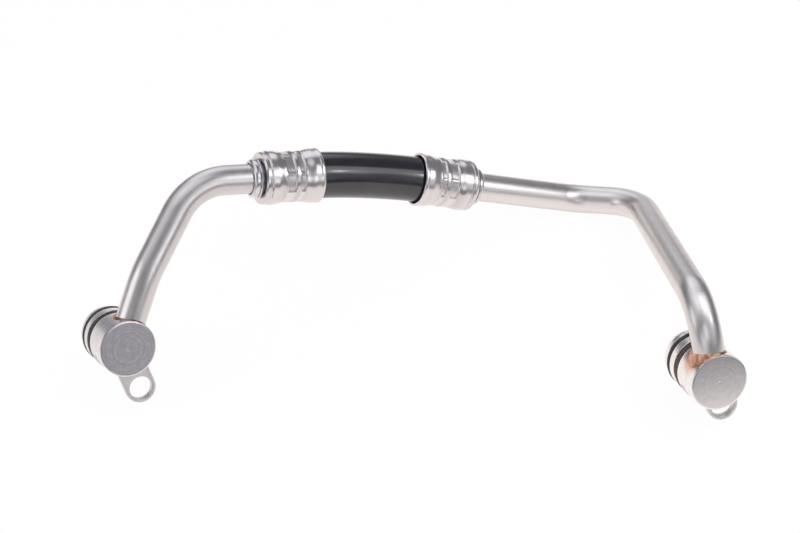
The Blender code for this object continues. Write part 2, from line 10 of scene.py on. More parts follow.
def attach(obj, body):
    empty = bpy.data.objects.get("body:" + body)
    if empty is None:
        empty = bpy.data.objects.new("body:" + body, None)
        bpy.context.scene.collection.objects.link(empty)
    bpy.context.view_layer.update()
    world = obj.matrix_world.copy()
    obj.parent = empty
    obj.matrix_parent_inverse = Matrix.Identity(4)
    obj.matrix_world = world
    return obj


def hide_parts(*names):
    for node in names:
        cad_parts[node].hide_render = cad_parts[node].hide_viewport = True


MM = 0.001
UP = Vector((0.0, 0.0, 1.0))

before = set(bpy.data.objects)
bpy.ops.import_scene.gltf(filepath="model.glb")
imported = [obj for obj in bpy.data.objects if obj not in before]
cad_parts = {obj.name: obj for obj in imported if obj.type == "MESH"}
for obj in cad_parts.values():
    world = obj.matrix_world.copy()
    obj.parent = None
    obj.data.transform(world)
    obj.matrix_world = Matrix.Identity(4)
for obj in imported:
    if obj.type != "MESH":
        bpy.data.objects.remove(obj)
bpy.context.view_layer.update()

# The line's own place: its parts are laid out first, and then shifted onto the origin
LAYOUT_SHIFT = Vector((1.9535, 1.7295, -0.1062)) * MM

# Camera, in the layout's frame. The photograph is half a pixel off its own middle
PHOTO_WIDTH = 800
CAMERA_PLACE = Vector((16.4, -320.9, 344.9)) * MM
CAMERA_RIGHT = Vector((0.9983, 0.0, -0.059))
CAMERA_UP = Vector((0.0414, 0.7131, 0.6999))
CAMERA_LENS = 76.5
CAMERA_SENSOR = 36.0
CAMERA_CLIP = 0.01
HALF_PIXEL = 0.5 / PHOTO_WIDTH

# Gaps between pieces that seat on each other
SEAT_GAP = 0.3 * MM
BRAZE_GAP = 0.15 * MM

# Bent steel pipe. A bend presses its back and belly in and lets its flanks bulge
PIPE_OD = 8.0 * MM
PIPE_WALL = 1.0 * MM
PIPE_SIDES = 48
PIPE_STEP = 1.0 * MM
FIRST_RING_GAP = 0.4 * MM
BEND_STEP = 3.0
BEND_FLATTENED = 0.022
BEND_WIDENED = 0.008

# Heat tint of the pipe, with the heights over the plug's axis between which it fades
HEAT_STRENGTH = 0.55
HEAT_FADE = (7.5 * MM, 9.6 * MM)

# Turned plug, measured along its axis from the closed front face
PLUG_OD = 15.0 * MM
PLUG_LENGTH = 19.8 * MM
PLUG_NOSE_OD = 14.0 * MM
PLUG_NOSE_CHAMFER_LENGTH = 1.8 * MM
PLUG_NOSE_CHAMFER_DEPTH = 0.8 * MM
PLUG_FRONT_CHAMFER = 0.25 * MM
PLUG_BORE = 6.0 * MM
PLUG_BORE_END = 1.8 * MM
PIPE_FOOT = 4.6 * MM
GROOVE_STARTS = (9.1 * MM, 14.0 * MM)
GROOVE_WIDTH = 2.3 * MM
GROOVE_DEPTH = 2.0 * MM

# Small edges of the plug. The middle point of a rounded edge lies a share of the way along
GROOVE_EDGE = 0.12 * MM
EDGE_MIDDLE = 0.3
NOSE_EDGE = 0.25 * MM
NOSE_ROUND = 0.2 * MM
NOSE_EASE = 0.06 * MM
BORE_CHAMFER = 0.3 * MM
AXIS_HOLE = 0.02 * MM

# Fineness of the plug, and the rings and centre mark that the lathe left on its front face
PLUG_SIDES = 128
PLUG_ROW = 0.35 * MM
FACE_RINGS = 26
FACE_RING_HEIGHT = 0.004 * MM
CENTRE_MARK_RINGS = 5
CENTRE_MARK_RADIUS = 0.3 * MM
CENTRE_MARK_DEPTH = 0.02 * MM

# O-rings
O_RING_SECTION = 2.1 * MM
O_RING_PROUD = 0.1 * MM
O_RING_PARTING_LINE = 0.03 * MM
O_RING_SIDES = 96
O_RING_SECTION_SIDES = 20

# Stamped bolt tab
TAB_START = 6.3 * MM
TAB_THICKNESS = 2.0 * MM
TAB_WIDTH = 8.2 * MM
TAB_HOLE = 6.2 * MM
TAB_HOLE_SIDES = 72
TAB_SLOT_DEPTH = 1.6 * MM
TAB_FORK_PROUD = 0.2 * MM
TAB_EDGE = 0.28 * MM
TAB_ARC_STEP = 4.0

# Copper braze, which bites into the steel a little and lies just over it
BRAZE_OVERLAP = 0.05 * MM
BRAZE_LIFT = 0.02 * MM
BRAZE_SINK = 0.3 * MM
TAB_BRAZE_LEG = 0.8 * MM
TAB_BRAZE_HOLLOW = 1.8
TAB_BRAZE_STEPS = 40
TAB_BRAZE_ROWS = 7

# Fillet of braze round the pipe's foot. Where its leg is thin, it is burnt
FILLET_REACH = 1.25
FILLET_LEAST = 0.12 * MM
FILLET_HOLLOW = 1.35
FILLET_BUMP = 0.05 * MM
FILLET_THIN = (0.3 * MM, 0.9 * MM)
FILLET_SIDES = 144
FILLET_ROWS = 9

# Copper wash beside the fillet, and the share of its width that is solid
WASH_STRENGTH = 0.35
WASH_SOLID = 0.55

# Turned hose insert, measured along its axis from the end that takes the pipe
INSERT_COLLAR_OD = 10.4 * MM
INSERT_COLLAR_LENGTH = 1.5 * MM
INSERT_COLLAR_DOME = 0.9 * MM
INSERT_RING_OD = 10.8 * MM
INSERT_RING_LENGTH = 0.6 * MM
INSERT_RING_ROUND = 0.2 * MM
INSERT_GROOVE_OD = 9.8 * MM
INSERT_GROOVE_LENGTH = 0.2 * MM
INSERT_NECK_OD = 8.0 * MM
INSERT_BORE = 4.6 * MM
INSERT_SOCKET_DEPTH = 1.6 * MM
INSERT_STEM_OD = 6.2 * MM
INSERT_STEM_LENGTH = 12.0 * MM
INSERT_SIDES = 96
SOCKET_CHAMFER_LENGTH = 0.2 * MM
SOCKET_CHAMFER_DEPTH = 0.15 * MM
DOME_STEPS = 12
RING_STEPS = 6

# Crimped ferrule, with heights along its axis from its closed end
FERRULE_GAP = 0.4 * MM
FERRULE_LENGTH = 16.5 * MM
FERRULE_WALL = 0.8 * MM
FERRULE_END_WALL = 0.9 * MM
FERRULE_END_OD = 13.6 * MM
FERRULE_LIP_OD = 14.1 * MM
FERRULE_LIP_LENGTH = 1.2 * MM
FERRULE_LIP_ROUND = 0.42 * MM
FERRULE_LIP_GROOVE_OD = 13.7 * MM
FERRULE_LIP_GROOVE_LENGTH = 0.5 * MM
FERRULE_SHOULDER_OD = 14.5 * MM
FERRULE_SHOULDER_END = 3.4 * MM
FERRULE_STEP = 0.25 * MM
FERRULE_RIDGE_OD = 13.8 * MM
FERRULE_FLARE_START = 12.6 * MM
FERRULE_FLARE_END = 14.3 * MM
FERRULE_FLARE_OD = 14.7 * MM
FERRULE_FLARE_RISE = 0.02 * MM
FERRULE_RIM_FOOT = 15.4 * MM
FERRULE_RIM_START = 15.7 * MM
FERRULE_RIM_OD = 14.9 * MM
FERRULE_RIM_ROUND = 0.18 * MM
FERRULE_MOUTH_ROUND = 0.3 * MM
FERRULE_SIDES = 192
FERRULE_ROW = 0.14 * MM

# Crimps of the ferrule. Each jaw slips, presses and tilts a little unlike the others
FERRULE_JAWS = 8
FERRULE_CRIMP_STARTS = (5.7 * MM, 9.5 * MM)
FERRULE_CRIMP_ENDS = (8.7 * MM, 11.3 * MM)
FERRULE_CRIMP_FLAT = 6.45 * MM
FERRULE_CRIMP_CORNER = 6.8 * MM
FERRULE_CRIMP_EDGE = 0.45 * MM
FERRULE_FACET = 0.5
FERRULE_SLIP = 0.08 * MM
FERRULE_DEPTH_VARIES = 0.06 * MM
FERRULE_TILT_VARIES = 0.06
FERRULE_RIB_HEIGHT = 0.10 * MM
FERRULE_RIB_WIDTH = 0.06
FERRULE_DENTS = 0.018 * MM

# Rubber hose
HOSE_OD = 12.6 * MM
HOSE_BORE = 7.5 * MM
HOSE_END_GAP = 0.5 * MM
HOSE_STIFFNESS = 0.8
HOSE_SIDES = 96
HOSE_SPAN_STEPS = 60

# Pipe routes, fitting angles, and where the braze was fed in and ran, on both sides
SIDES = {
    "left": {
        "route": (
            Vector((-75.3, -24.7, 19.7)) * MM,
            Vector((-68.4, -12.9, 33.2)) * MM,
            Vector((-55.8, 7.0, 46.9)) * MM,
            Vector((-41.8, 12.3, 42.3)) * MM,
        ),
        "bends": (20.0 * MM, 16.0 * MM),
        "swing": 143.5,
        "tab_turn": -41.6,
        "tab_reach": 14.2 * MM,
        "crimp_seed": 2.6,
        "braze": 0.8 * MM,
        "fed_towards": 70,
        "fed_least": 0.34,
        "fed_more": 0.36,
        "wash_towards": 62,
        "wash_least": 0.25 * MM,
        "wash_more": 1.2 * MM,
        "wash_power": 4,
        "wash_strength": 0.20,
    },
    "right": {
        "route": (
            Vector((75.7, -39.5, 15.6)) * MM,
            Vector((73.0, -32.7, 33.6)) * MM,
            Vector((65.0, 35.2, 5.8)) * MM,
            Vector((47.0, 40.3, 3.5)) * MM,
            Vector((18.7, 33.3, 16.4)) * MM,
        ),
        "bends": (11.0 * MM, 13.0 * MM, 14.0 * MM),
        "swing": 86.5,
        "tab_turn": -13.4,
        "tab_reach": 10.9 * MM,
        "crimp_seed": 11.4,
        "braze": 1.3 * MM,
        "fed_towards": 112,
        "fed_least": 0.30,
        "fed_more": 0.95,
        "wash_towards": 100,
        "wash_least": 0.5 * MM,
        "wash_more": 3.0 * MM,
        "wash_power": 3,
        "wash_strength": 0.45,
    },
}

# Sizes that follow from the ones above
PIPE_RADIUS = PIPE_OD / 2
PLUG_RADIUS = PLUG_OD / 2
GROOVE_RADIUS = PLUG_RADIUS - GROOVE_DEPTH
O_RING_RADIUS = PLUG_RADIUS + O_RING_PROUD - O_RING_SECTION / 2
INSERT_COLLAR_END = INSERT_COLLAR_LENGTH + INSERT_GROOVE_LENGTH + INSERT_RING_LENGTH
FERRULE_START = INSERT_COLLAR_END + FERRULE_GAP
FERRULE_MOUTH = FERRULE_RIM_OD / 2 - FERRULE_WALL
FERRULE_MOUTH_START = FERRULE_FLARE_START + FERRULE_WALL
HOSE_START = FERRULE_START + FERRULE_END_WALL + HOSE_END_GAP

# Ranges of noise that surfaces use, and scales of their broad marks against the fine ones
LOOSE_NOISE = (0.30, 0.70)
TIGHT_NOISE = (0.35, 0.65)
STREAK_SCALE = 0.28
CLOUD_SCALE = 0.22
BAND_SCALE = 0.2

# Floor: its size, how white the camera sees it, and how its mirror image fades with distance
FLOOR_REACH = 3.0
FLOOR_WHITE = 0.94
FLOOR_MIDDLE = (-0.05, 0.05, 0.0)
FLOOR_FADE = (0.19, 0.33)
FLOOR_PALE = (1.16, 1.09, 1.07)
FLOOR_DARK = (0.17, 0.17, 0.19)

# Room: its plain level, its tint and what matt surfaces see of it
ROOM_LEVEL = 0.25
ROOM_BLUE = 1.06
ROOM_PLAIN = (0.85, 0.85, 0.85)

# Soft light areas of the room, with radius and softness in degrees
GLOWS = (
    {"towards": (0.72, -0.47, 0.51), "radius": 21, "softness": 8, "level": 0.55},
    {"towards": (-0.60, -0.04, 0.80), "radius": 20, "softness": 10, "level": 0.50},
    {"towards": (-0.06, 0.12, 0.99), "radius": 21, "softness": 9, "level": 0.85},
    {"towards": (-0.02, 0.86, 0.51), "radius": 22, "softness": 8, "level": 0.95},
    {"towards": (-0.40, -0.89, 0.18), "radius": 15, "softness": 9, "level": 0.85},
    {"towards": (-0.48, 0.50, 0.72), "radius": 18, "softness": 10, "level": 0.55},
    {"towards": (0.66, -0.75, 0.06), "radius": 14, "softness": 9, "level": 0.16},
)

# Lamps. The key draws the bright line on the hose, and the others light a foot or a leg
LAMPS = {
    "key_lamp": {
        "target": (0.0, 0.02, 0.03),
        "towards": (0.80, -0.22, 0.56),
        "distance": 0.8,
        "width": 0.08,
        "watts": 0.21,
    },
    "right_lamp": {
        "target": (0.075, -0.03, 0.02),
        "towards": (0.45, 0.12, 0.88),
        "distance": 0.15,
        "width": 0.12,
        "watts": 0.075,
    },
    "left_lamp": {
        "target": (-0.072, -0.02, 0.025),
        "towards": (-0.86, -0.25, 0.44),
        "distance": 0.25,
        "width": 0.18,
        "watts": 0.16,
    },
    "front_lamp": {
        "target": (-0.066, -0.015, 0.03),
        "towards": (0.70, -0.60, 0.39),
        "distance": 0.2,
        "width": 0.07,
        "watts": 0.019,
    },
}


# Shader tools


def feed(tree, socket, value):
    """Gives a socket a plain number, a colour or another node's output."""
    if isinstance(value, tuple):
        socket.default_value = (*value, 1.0)
    elif isinstance(value, (int, float)):
        socket.default_value = value
    else:
        tree.links.new(value, socket)


def new_material(name):
    material = bpy.data.materials.new(name)
    material.use_nodes = True
    tree = material.node_tree
    return material, tree, tree.nodes["Principled BSDF"]


def add_math(tree, operation, one, other):
    """A Math node whose inputs are sockets or plain numbers. Returns its output."""
    node = tree.nodes.new("ShaderNodeMath")
    node.operation = operation
    feed(tree, node.inputs[0], one)
    feed(tree, node.inputs[1], other)
    return node.outputs[0]


def add_vector_math(tree, operation, vector, other=None):
    """A Vector Math node over a socket and, where it needs one, a plain vector."""
    node = tree.nodes.new("ShaderNodeVectorMath")
    node.operation = operation
    tree.links.new(vector, node.inputs[0])
    if other is not None:
        node.inputs[1].default_value = other
    return node.outputs


def mix_colours(tree, share, one, other):
    """A Mix node over colours. Share, one and other are sockets or plain values."""
    node = tree.nodes.new("ShaderNodeMix")
    node.data_type = "RGBA"
    feed(tree, node.inputs["Factor"], share)
    feed(tree, node.inputs[6], one)
    feed(tree, node.inputs[7], other)
    return node.outputs[2]


def mix_shaders(tree, share, one, other):
    node = tree.nodes.new("ShaderNodeMixShader")
    feed(tree, node.inputs["Fac"], share)
    tree.links.new(one, node.inputs[1])
    tree.links.new(other, node.inputs[2])
    return node.outputs[0]


def map_value(tree, value, start, end=(0.0, 1.0)):
    """Eases the values of one range onto another."""
    node = tree.nodes.new("ShaderNodeMapRange")
    node.interpolation_type = "SMOOTHSTEP"
    names = ("From Min", "From Max", "To Min", "To Max")
    for name, number in zip(names, (*start, *end)):
        node.inputs[name].default_value = number
    tree.links.new(value, node.inputs["Value"])
    return node.outputs["Result"]


def add_noise(tree, place, scale, detail, roughness):
    """A noise texture over a place. Its scale is a socket or a plain number."""
    node = tree.nodes.new("ShaderNodeTexNoise")
    tree.links.new(place, node.inputs["Vector"])
    feed(tree, node.inputs["Scale"], scale)
    feed(tree, node.inputs["Detail"], detail)
    feed(tree, node.inputs["Roughness"], roughness)
    return node.outputs["Fac"]


def split_vector(tree, vector):
    node = tree.nodes.new("ShaderNodeSeparateXYZ")
    tree.links.new(vector, node.inputs[0])
    return node.outputs["X"], node.outputs["Y"], node.outputs["Z"]


def join_vector(tree, *parts):
    node = tree.nodes.new("ShaderNodeCombineXYZ")
    for socket, part in zip(node.inputs, parts):
        tree.links.new(part, socket)
    return node.outputs[0]


def new_group(name, numbers, outputs):
    """A node group over a vector. Numbers maps its other inputs to their usual values."""
    tree = bpy.data.node_groups.new(name, "ShaderNodeTree")
    add_socket = tree.interface.new_socket
    add_socket("Vector", in_out="INPUT", socket_type="NodeSocketVector")
    for socket_name, value in numbers.items():
        socket = add_socket(socket_name, in_out="INPUT", socket_type="NodeSocketFloat")
        socket.default_value = value
    for socket_name in outputs:
        add_socket(socket_name, in_out="OUTPUT", socket_type="NodeSocketFloat")
    source = tree.nodes.new("NodeGroupInput")
    target = tree.nodes.new("NodeGroupOutput")
    return tree, source.outputs, target.inputs


def place_group(tree, group, vector, **values):
    """Places a node group in a material with its own values. Returns its outputs."""
    node = tree.nodes.new("ShaderNodeGroup")
    node.node_tree = group
    tree.links.new(vector, node.inputs["Vector"])
    for name, value in values.items():
        node.inputs[name.title()].default_value = value
    return node.outputs


def make_drawn_lines():
    """Fine lines along a drawn or extruded piece, with broad soft streaks under them."""
    tree, given, result = new_group(
        "drawn_lines", {"Fineness": 900.0, "Stretch": 0.02}, ("Lines", "Streaks", "Clouds")
    )
    x, y, z = split_vector(tree, given["Vector"])
    drawn = join_vector(tree, x, y, add_math(tree, "MULTIPLY", z, given["Stretch"]))
    fine = given["Fineness"]
    broad = add_math(tree, "MULTIPLY", fine, STREAK_SCALE)
    wide = add_math(tree, "MULTIPLY", fine, CLOUD_SCALE)
    lines = add_noise(tree, drawn, fine, detail=4.0, roughness=0.65)
    streaks = add_noise(tree, drawn, broad, detail=2.0, roughness=0.5)
    clouds = add_noise(tree, given["Vector"], wide, detail=3.0, roughness=0.55)
    tree.links.new(lines, result["Lines"])
    tree.links.new(streaks, result["Streaks"])
    tree.links.new(clouds, result["Clouds"])
    return tree


def make_turning_marks():
    """Rings that a lathe leaves: noise over distance from the axis and over height only."""
    tree, given, result = new_group(
        "turning_marks", {"Fineness": 2600.0, "Drift": 300.0}, ("Rings", "Bands", "Clouds")
    )
    x, y, z = split_vector(tree, given["Vector"])
    distance = add_vector_math(tree, "LENGTH", join_vector(tree, x, y))["Value"]
    lathe = join_vector(tree, distance, z)
    fine = given["Fineness"]
    wide = add_math(tree, "MULTIPLY", fine, BAND_SCALE)
    rings = add_noise(tree, lathe, fine, detail=3.0, roughness=0.7)
    bands = add_noise(tree, lathe, wide, detail=1.0, roughness=0.4)
    clouds = add_noise(tree, given["Vector"], given["Drift"], detail=3.0, roughness=0.6)
    tree.links.new(rings, result["Rings"])
    tree.links.new(bands, result["Bands"])
    tree.links.new(clouds, result["Clouds"])
    return tree


def dress(tree, shader, colour, rough, metallic=1.0):
    """Gives a surface its colour and roughness. It is bare metal unless told otherwise."""
    tree.links.new(colour, shader.inputs["Base Color"])
    tree.links.new(rough, shader.inputs["Roughness"])
    shader.inputs["Metallic"].default_value = metallic


def add_bump(tree, shader, height, strength, distance):
    bump = tree.nodes.new("ShaderNodeBump")
    bump.inputs["Strength"].default_value = strength
    bump.inputs["Distance"].default_value = distance
    tree.links.new(height, bump.inputs["Height"])
    tree.links.new(bump.outputs["Normal"], shader.inputs["Normal"])


def stored(tree, name, output="Fac"):
    """A value that the piece's own mesh holds at each point."""
    node = tree.nodes.new("ShaderNodeAttribute")
    node.attribute_name = name
    return node.outputs[output]


def own_coordinates(tree):
    """Place in the piece's own frame, where Z is the axis that it was turned on."""
    return stored(tree, "own_place", "Vector")


# Materials


def make_pipe_steel(drawn_lines):
    """Drawn tube: satin, with lengthwise lines, and a brown heat tint by the braze."""
    material, tree, shader = new_material("pipe_steel")
    run = stored(tree, "tube_run", "Vector")
    marks = place_group(tree, drawn_lines, run, fineness=1500.0, stretch=0.018)
    dull, bright, tint = (0.57, 0.555, 0.555), (0.70, 0.675, 0.665), (0.50, 0.36, 0.28)
    steel = mix_colours(tree, map_value(tree, marks["Streaks"], TIGHT_NOISE), dull, bright)
    tinted = mix_colours(tree, stored(tree, "heat"), steel, tint)
    dress(tree, shader, tinted, map_value(tree, marks["Clouds"], LOOSE_NOISE, (0.31, 0.37)))
    add_bump(tree, shader, marks["Lines"], 0.04, 0.05 * MM)
    return material


def make_turned_steel(turning_marks, name, colour, darker):
    """Turned steel with lathe rings, and a copper wash where the braze ran over it."""
    material, tree, shader = new_material(name)
    marks = place_group(tree, turning_marks, own_coordinates(tree), fineness=2400.0, drift=620.0)
    steel = mix_colours(tree, map_value(tree, marks["Rings"], LOOSE_NOISE), darker, colour)
    cloud = map_value(tree, marks["Clouds"], TIGHT_NOISE, (0.0, 0.8))
    steel = mix_colours(tree, cloud, steel, darker)
    copper = mix_colours(tree, marks["Clouds"], (0.70, 0.36, 0.22), (0.62, 0.42, 0.33))
    washed = mix_colours(tree, stored(tree, "braze_wash"), steel, copper)
    dress(tree, shader, washed, map_value(tree, marks["Rings"], LOOSE_NOISE, (0.20, 0.27)))
    add_bump(tree, shader, marks["Rings"], 0.08, 0.03 * MM)
    return material


def make_stamped_steel():
    """Stamped plate: matt, faintly mottled, brighter where its edges are worn."""
    material, tree, shader = new_material("stamped_steel")
    place = own_coordinates(tree)
    grain = add_noise(tree, place, 2600.0, detail=3.0, roughness=0.6)
    patches = add_noise(tree, place, 420.0, detail=2.0, roughness=0.5)
    dull, bright, bare = (0.54, 0.53, 0.53), (0.61, 0.60, 0.60), (0.80, 0.78, 0.77)
    plate = mix_colours(tree, map_value(tree, patches, TIGHT_NOISE), dull, bright)
    edge = tree.nodes.new("ShaderNodeNewGeometry").outputs["Pointiness"]
    worn = map_value(tree, edge, (0.52, 0.60), (0.0, 0.6))
    rough = map_value(tree, grain, LOOSE_NOISE, (0.38, 0.50))
    dress(tree, shader, mix_colours(tree, worn, plate, bare), rough)
    add_bump(tree, shader, grain, 0.12, 0.03 * MM)
    return material


def make_ferrule_steel(turning_marks):
    """Bright pressed shell. The jaws left the crimps a little scuffed."""
    material, tree, shader = new_material("ferrule_steel")
    place = own_coordinates(tree)
    marks = place_group(tree, turning_marks, place, fineness=1500.0, drift=420.0)
    dull, bright, bare = (0.56, 0.545, 0.55), (0.64, 0.62, 0.62), (0.74, 0.72, 0.715)
    shell = mix_colours(tree, map_value(tree, marks["Bands"], TIGHT_NOISE), dull, bright)
    scuffs = add_noise(tree, place, 1500.0, detail=4.0, roughness=0.7)
    scuffed = add_math(tree, "MULTIPLY", scuffs, stored(tree, "pressed"))
    smooth = map_value(tree, marks["Clouds"], LOOSE_NOISE, (0.20, 0.26))
    rough = add_math(tree, "ADD", smooth, add_math(tree, "MULTIPLY", scuffed, 0.10))
    dress(tree, shader, mix_colours(tree, scuffed, shell, bare), rough)
    add_bump(tree, shader, scuffed, 0.15, 0.05 * MM)
    return material


def make_braze():
    """Copper braze that ran and froze: orange where thick, brown and dull where it burnt."""
    material, tree, shader = new_material("copper_braze")
    runs = add_noise(tree, own_coordinates(tree), 700.0, detail=4.0, roughness=0.6)
    dark, bright, brown = (0.50, 0.24, 0.16), (0.80, 0.50, 0.38), (0.26, 0.17, 0.13)
    copper = mix_colours(tree, map_value(tree, runs, (0.35, 0.68)), dark, bright)
    rough = map_value(tree, runs, LOOSE_NOISE, (0.26, 0.44))
    dress(tree, shader, mix_colours(tree, stored(tree, "burnt"), copper, brown), rough)
    add_bump(tree, shader, runs, 0.5, 0.15 * MM)
    return material


def make_hose_rubber(drawn_lines):
    """Extruded rubber: near black, half glossy, with faint lengthwise lines and dust."""
    material, tree, shader = new_material("hose_rubber")
    run = stored(tree, "tube_run", "Vector")
    marks = place_group(tree, drawn_lines, run, fineness=1300.0, stretch=0.03)
    share = map_value(tree, marks["Clouds"], (0.40, 0.75))
    rubber = mix_colours(tree, share, (0.008, 0.008, 0.014), (0.015, 0.015, 0.023))
    rough = map_value(tree, marks["Streaks"], LOOSE_NOISE, (0.13, 0.18))
    dress(tree, shader, rubber, rough, metallic=0.0)
    shader.inputs["Specular IOR Level"].default_value = 0.8
    add_bump(tree, shader, marks["Lines"], 0.03, 0.05 * MM)
    return material


def make_ring_rubber(name, colour, dusty):
    """Moulded O-ring: matt, with a fine skin and a little dust."""
    material, tree, shader = new_material(name)
    place = own_coordinates(tree)
    skin = add_noise(tree, place, 3000.0, detail=3.0, roughness=0.6)
    dust = add_noise(tree, place, 600.0, detail=3.0, roughness=0.6)
    rubber = mix_colours(tree, map_value(tree, dust, (0.5, 0.8)), colour, dusty)
    rough = map_value(tree, skin, LOOSE_NOISE, (0.42, 0.56))
    dress(tree, shader, rubber, rough, metallic=0.0)
    add_bump(tree, shader, skin, 0.2, 0.03 * MM)
    return material


def make_materials():
    drawn_lines = make_drawn_lines()
    turning_marks = make_turning_marks()
    black, black_dust = (0.018, 0.018, 0.020), (0.045, 0.044, 0.046)
    brown, brown_dust = (0.060, 0.034, 0.030), (0.105, 0.070, 0.062)
    steel, steel_dark = (0.74, 0.73, 0.745), (0.57, 0.56, 0.58)
    # The right plug's steel is a copy of the same steel painted lighter: painted light for the
    # brighter reflection on its face
    painted_lit_steel, painted_lit_steel_dark = (0.86, 0.85, 0.845), (0.72, 0.71, 0.71)
    return {
        "pipe": make_pipe_steel(drawn_lines),
        "left_turned": make_turned_steel(turning_marks, "turned_steel", steel, steel_dark),
        "right_turned": make_turned_steel(turning_marks, "painted_lit_turned_steel", painted_lit_steel, painted_lit_steel_dark),
        "tab": make_stamped_steel(),
        "ferrule": make_ferrule_steel(turning_marks),
        "braze": make_braze(),
        "hose": make_hose_rubber(drawn_lines),
        "black_ring": make_ring_rubber("black_o_ring", black, black_dust),
        "brown_ring": make_ring_rubber("brown_o_ring", brown, brown_dust),
    }


# Shape tools


def turns(sides):
    """Angles of evenly spaced points round a circle."""
    return [2 * pi * i / sides for i in range(sides)]


def turned(radius, angle, height):
    """The point at a distance and angle from the Z axis, and at a height."""
    return Vector((radius * cos(angle), radius * sin(angle), height))


def circle_ring(radius, height, sides, matrix=None):
    points = [turned(radius, angle, height) for angle in turns(sides)]
    return points if matrix is None else [matrix @ point for point in points]


def skin_mesh(name, rings, closed):
    """A mesh whose skin runs from ring to ring, either round to the first or capped."""
    count = len(rings[0])
    points = [point for ring in rings for point in ring]
    faces = []
    pairs = [(k, k + 1) for k in range(len(rings) - 1)]
    if closed:
        pairs.append((len(rings) - 1, 0))
    for one, other in pairs:
        for i in range(count):
            j = (i + 1) % count
            faces.append(
                (one * count + i, one * count + j, other * count + j, other * count + i)
            )
    if not closed:
        faces.append(tuple(reversed(range(count))))
        faces.append(tuple((len(rings) - 1) * count + i for i in range(count)))
    mesh = bpy.data.meshes.new(name)
    mesh.from_pydata(points, [], faces)
    mend_normals(mesh)
    return mesh


def mend_normals(mesh):
    shape = bmesh.new()
    shape.from_mesh(mesh)
    bmesh.ops.recalc_face_normals(shape, faces=shape.faces)
    shape.to_mesh(mesh)
    shape.free()


def store_values(mesh, name, values):
    """Stores one number for each point of a mesh under a name."""
    attribute = mesh.attributes.new(name, "FLOAT", "POINT")
    attribute.data.foreach_set("value", values)


def store_vectors(mesh, name, vectors):
    attribute = mesh.attributes.new(name, "FLOAT_VECTOR", "POINT")
    attribute.data.foreach_set("vector", [number for vector in vectors for number in vector])


def finish_piece(name, mesh, matrix, material, node, sharp=35.0):
    """Puts a mesh in the scene in place of a CAD node."""
    store_vectors(mesh, "own_place", [vertex.co for vertex in mesh.vertices])
    mesh.transform(matrix)
    mesh.materials.append(material)
    mesh.shade_smooth()
    mesh.set_sharp_from_angle(angle=radians(sharp))
    piece = bpy.data.objects.new(name, mesh)
    bpy.context.scene.collection.objects.link(piece)
    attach(piece, "root")
    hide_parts(node)
    return piece


def frame_from(place, along, side):
    """A frame at a place, with Z along one direction and X as near another as it can be."""
    z = along.normalized()
    x = (side - z * side.dot(z)).normalized()
    y = z.cross(x)
    matrix = Matrix((x, y, z)).transposed().to_4x4()
    matrix.translation = place
    return matrix


def axis_of(matrix, column):
    return matrix.to_3x3().col[column].copy()


def bent_path(corners, bends):
    """A pipe's centre line as (place, direction, bend share, inward direction) stations."""
    stations = []
    straight_start = corners[0]
    for i, bend in enumerate(bends, start=1):
        before = (corners[i] - corners[i - 1]).normalized()
        after = (corners[i + 1] - corners[i]).normalized()
        turn = acos(max(-1.0, min(1.0, before.dot(after))))
        inward = (after - before * before.dot(after)).normalized()
        start = corners[i] - before * bend * tan(turn / 2)
        centre = start + inward * bend
        stations += straight_stations(straight_start, start, before)
        steps = max(4, round(degrees(turn) / BEND_STEP))
        for k in range(steps + 1):
            share = k / steps
            angle = turn * share
            place = centre - inward * bend * cos(angle) + before * bend * sin(angle)
            along = before * cos(angle) + inward * sin(angle)
            towards = (centre - place).normalized()
            stations.append((place, along, sin(pi * share) ** 0.5, towards))
        straight_start = stations.pop()[0]
    last = (corners[-1] - corners[-2]).normalized()
    stations += straight_stations(straight_start, corners[-1], last)
    stations.append((corners[-1], last, 0.0, None))
    return stations


def straight_stations(start, end, along):
    """Stations over a straight run, without its end."""
    length = (end - start).length
    steps = max(1, round(length / PIPE_STEP))
    return [(start + (end - start) * k / steps, along, 0.0, None) for k in range(steps)]


def path_frames(places, directions, side):
    """A frame at each station, carried along the path without twisting."""
    frames = []
    for place, along in zip(places, directions):
        matrix = frame_from(place, along, side)
        side = axis_of(matrix, 0)
        frames.append(matrix)
    return frames


def soft_noise(x, y=0.0, z=0.0):
    """Smooth noise from about -1 to 1, the same on every run."""
    return noise.noise(Vector((x, y, z)))


def straight_step(low, high, value):
    return max(0.0, min(1.0, (value - low) / (high - low)))


def smooth_step(low, high, value):
    share = straight_step(low, high, value)
    return share * share * (3 - 2 * share)


# Pieces of the line


def plug_frame(side):
    """The plug's frame on its front face: Z runs to the nose, X points to the bolt tab."""
    route = side["route"]
    leg = (route[1] - route[0]).normalized()
    level = leg.cross(UP).normalized()
    other = leg.cross(level)
    swing = radians(side["swing"])
    axis = level * cos(swing) + other * sin(swing)
    across = axis.cross(-leg)
    turn = radians(side["tab_turn"])
    tab = -leg * cos(turn) + across * sin(turn)
    return frame_from(route[0] + LAYOUT_SHIFT - axis * PIPE_FOOT, axis, tab)


def foot_frame(plug, leg):
    """Frame of the pipe's foot: on the plug's axis, Z up the pipe and X to the plug's nose."""
    return frame_from(plug @ Vector((0.0, 0.0, PIPE_FOOT)), leg, axis_of(plug, 2))


def saddle_height(radius, angle):
    """Height of the plug's round surface at a point beside the pipe's axis."""
    return sqrt(max(0.0, PLUG_RADIUS**2 - (radius * sin(angle)) ** 2))


def rounded_step(height, high_radius, rising):
    """Points of a step up from a groove, or down into it, with a small rounded edge."""
    edge = GROOVE_EDGE if rising else -GROOVE_EDGE
    points = [
        (height, GROOVE_RADIUS),
        (height, high_radius - GROOVE_EDGE),
        (height + EDGE_MIDDLE * edge, high_radius - EDGE_MIDDLE * GROOVE_EDGE),
        (height + edge, high_radius),
    ]
    return points if rising else points[::-1]


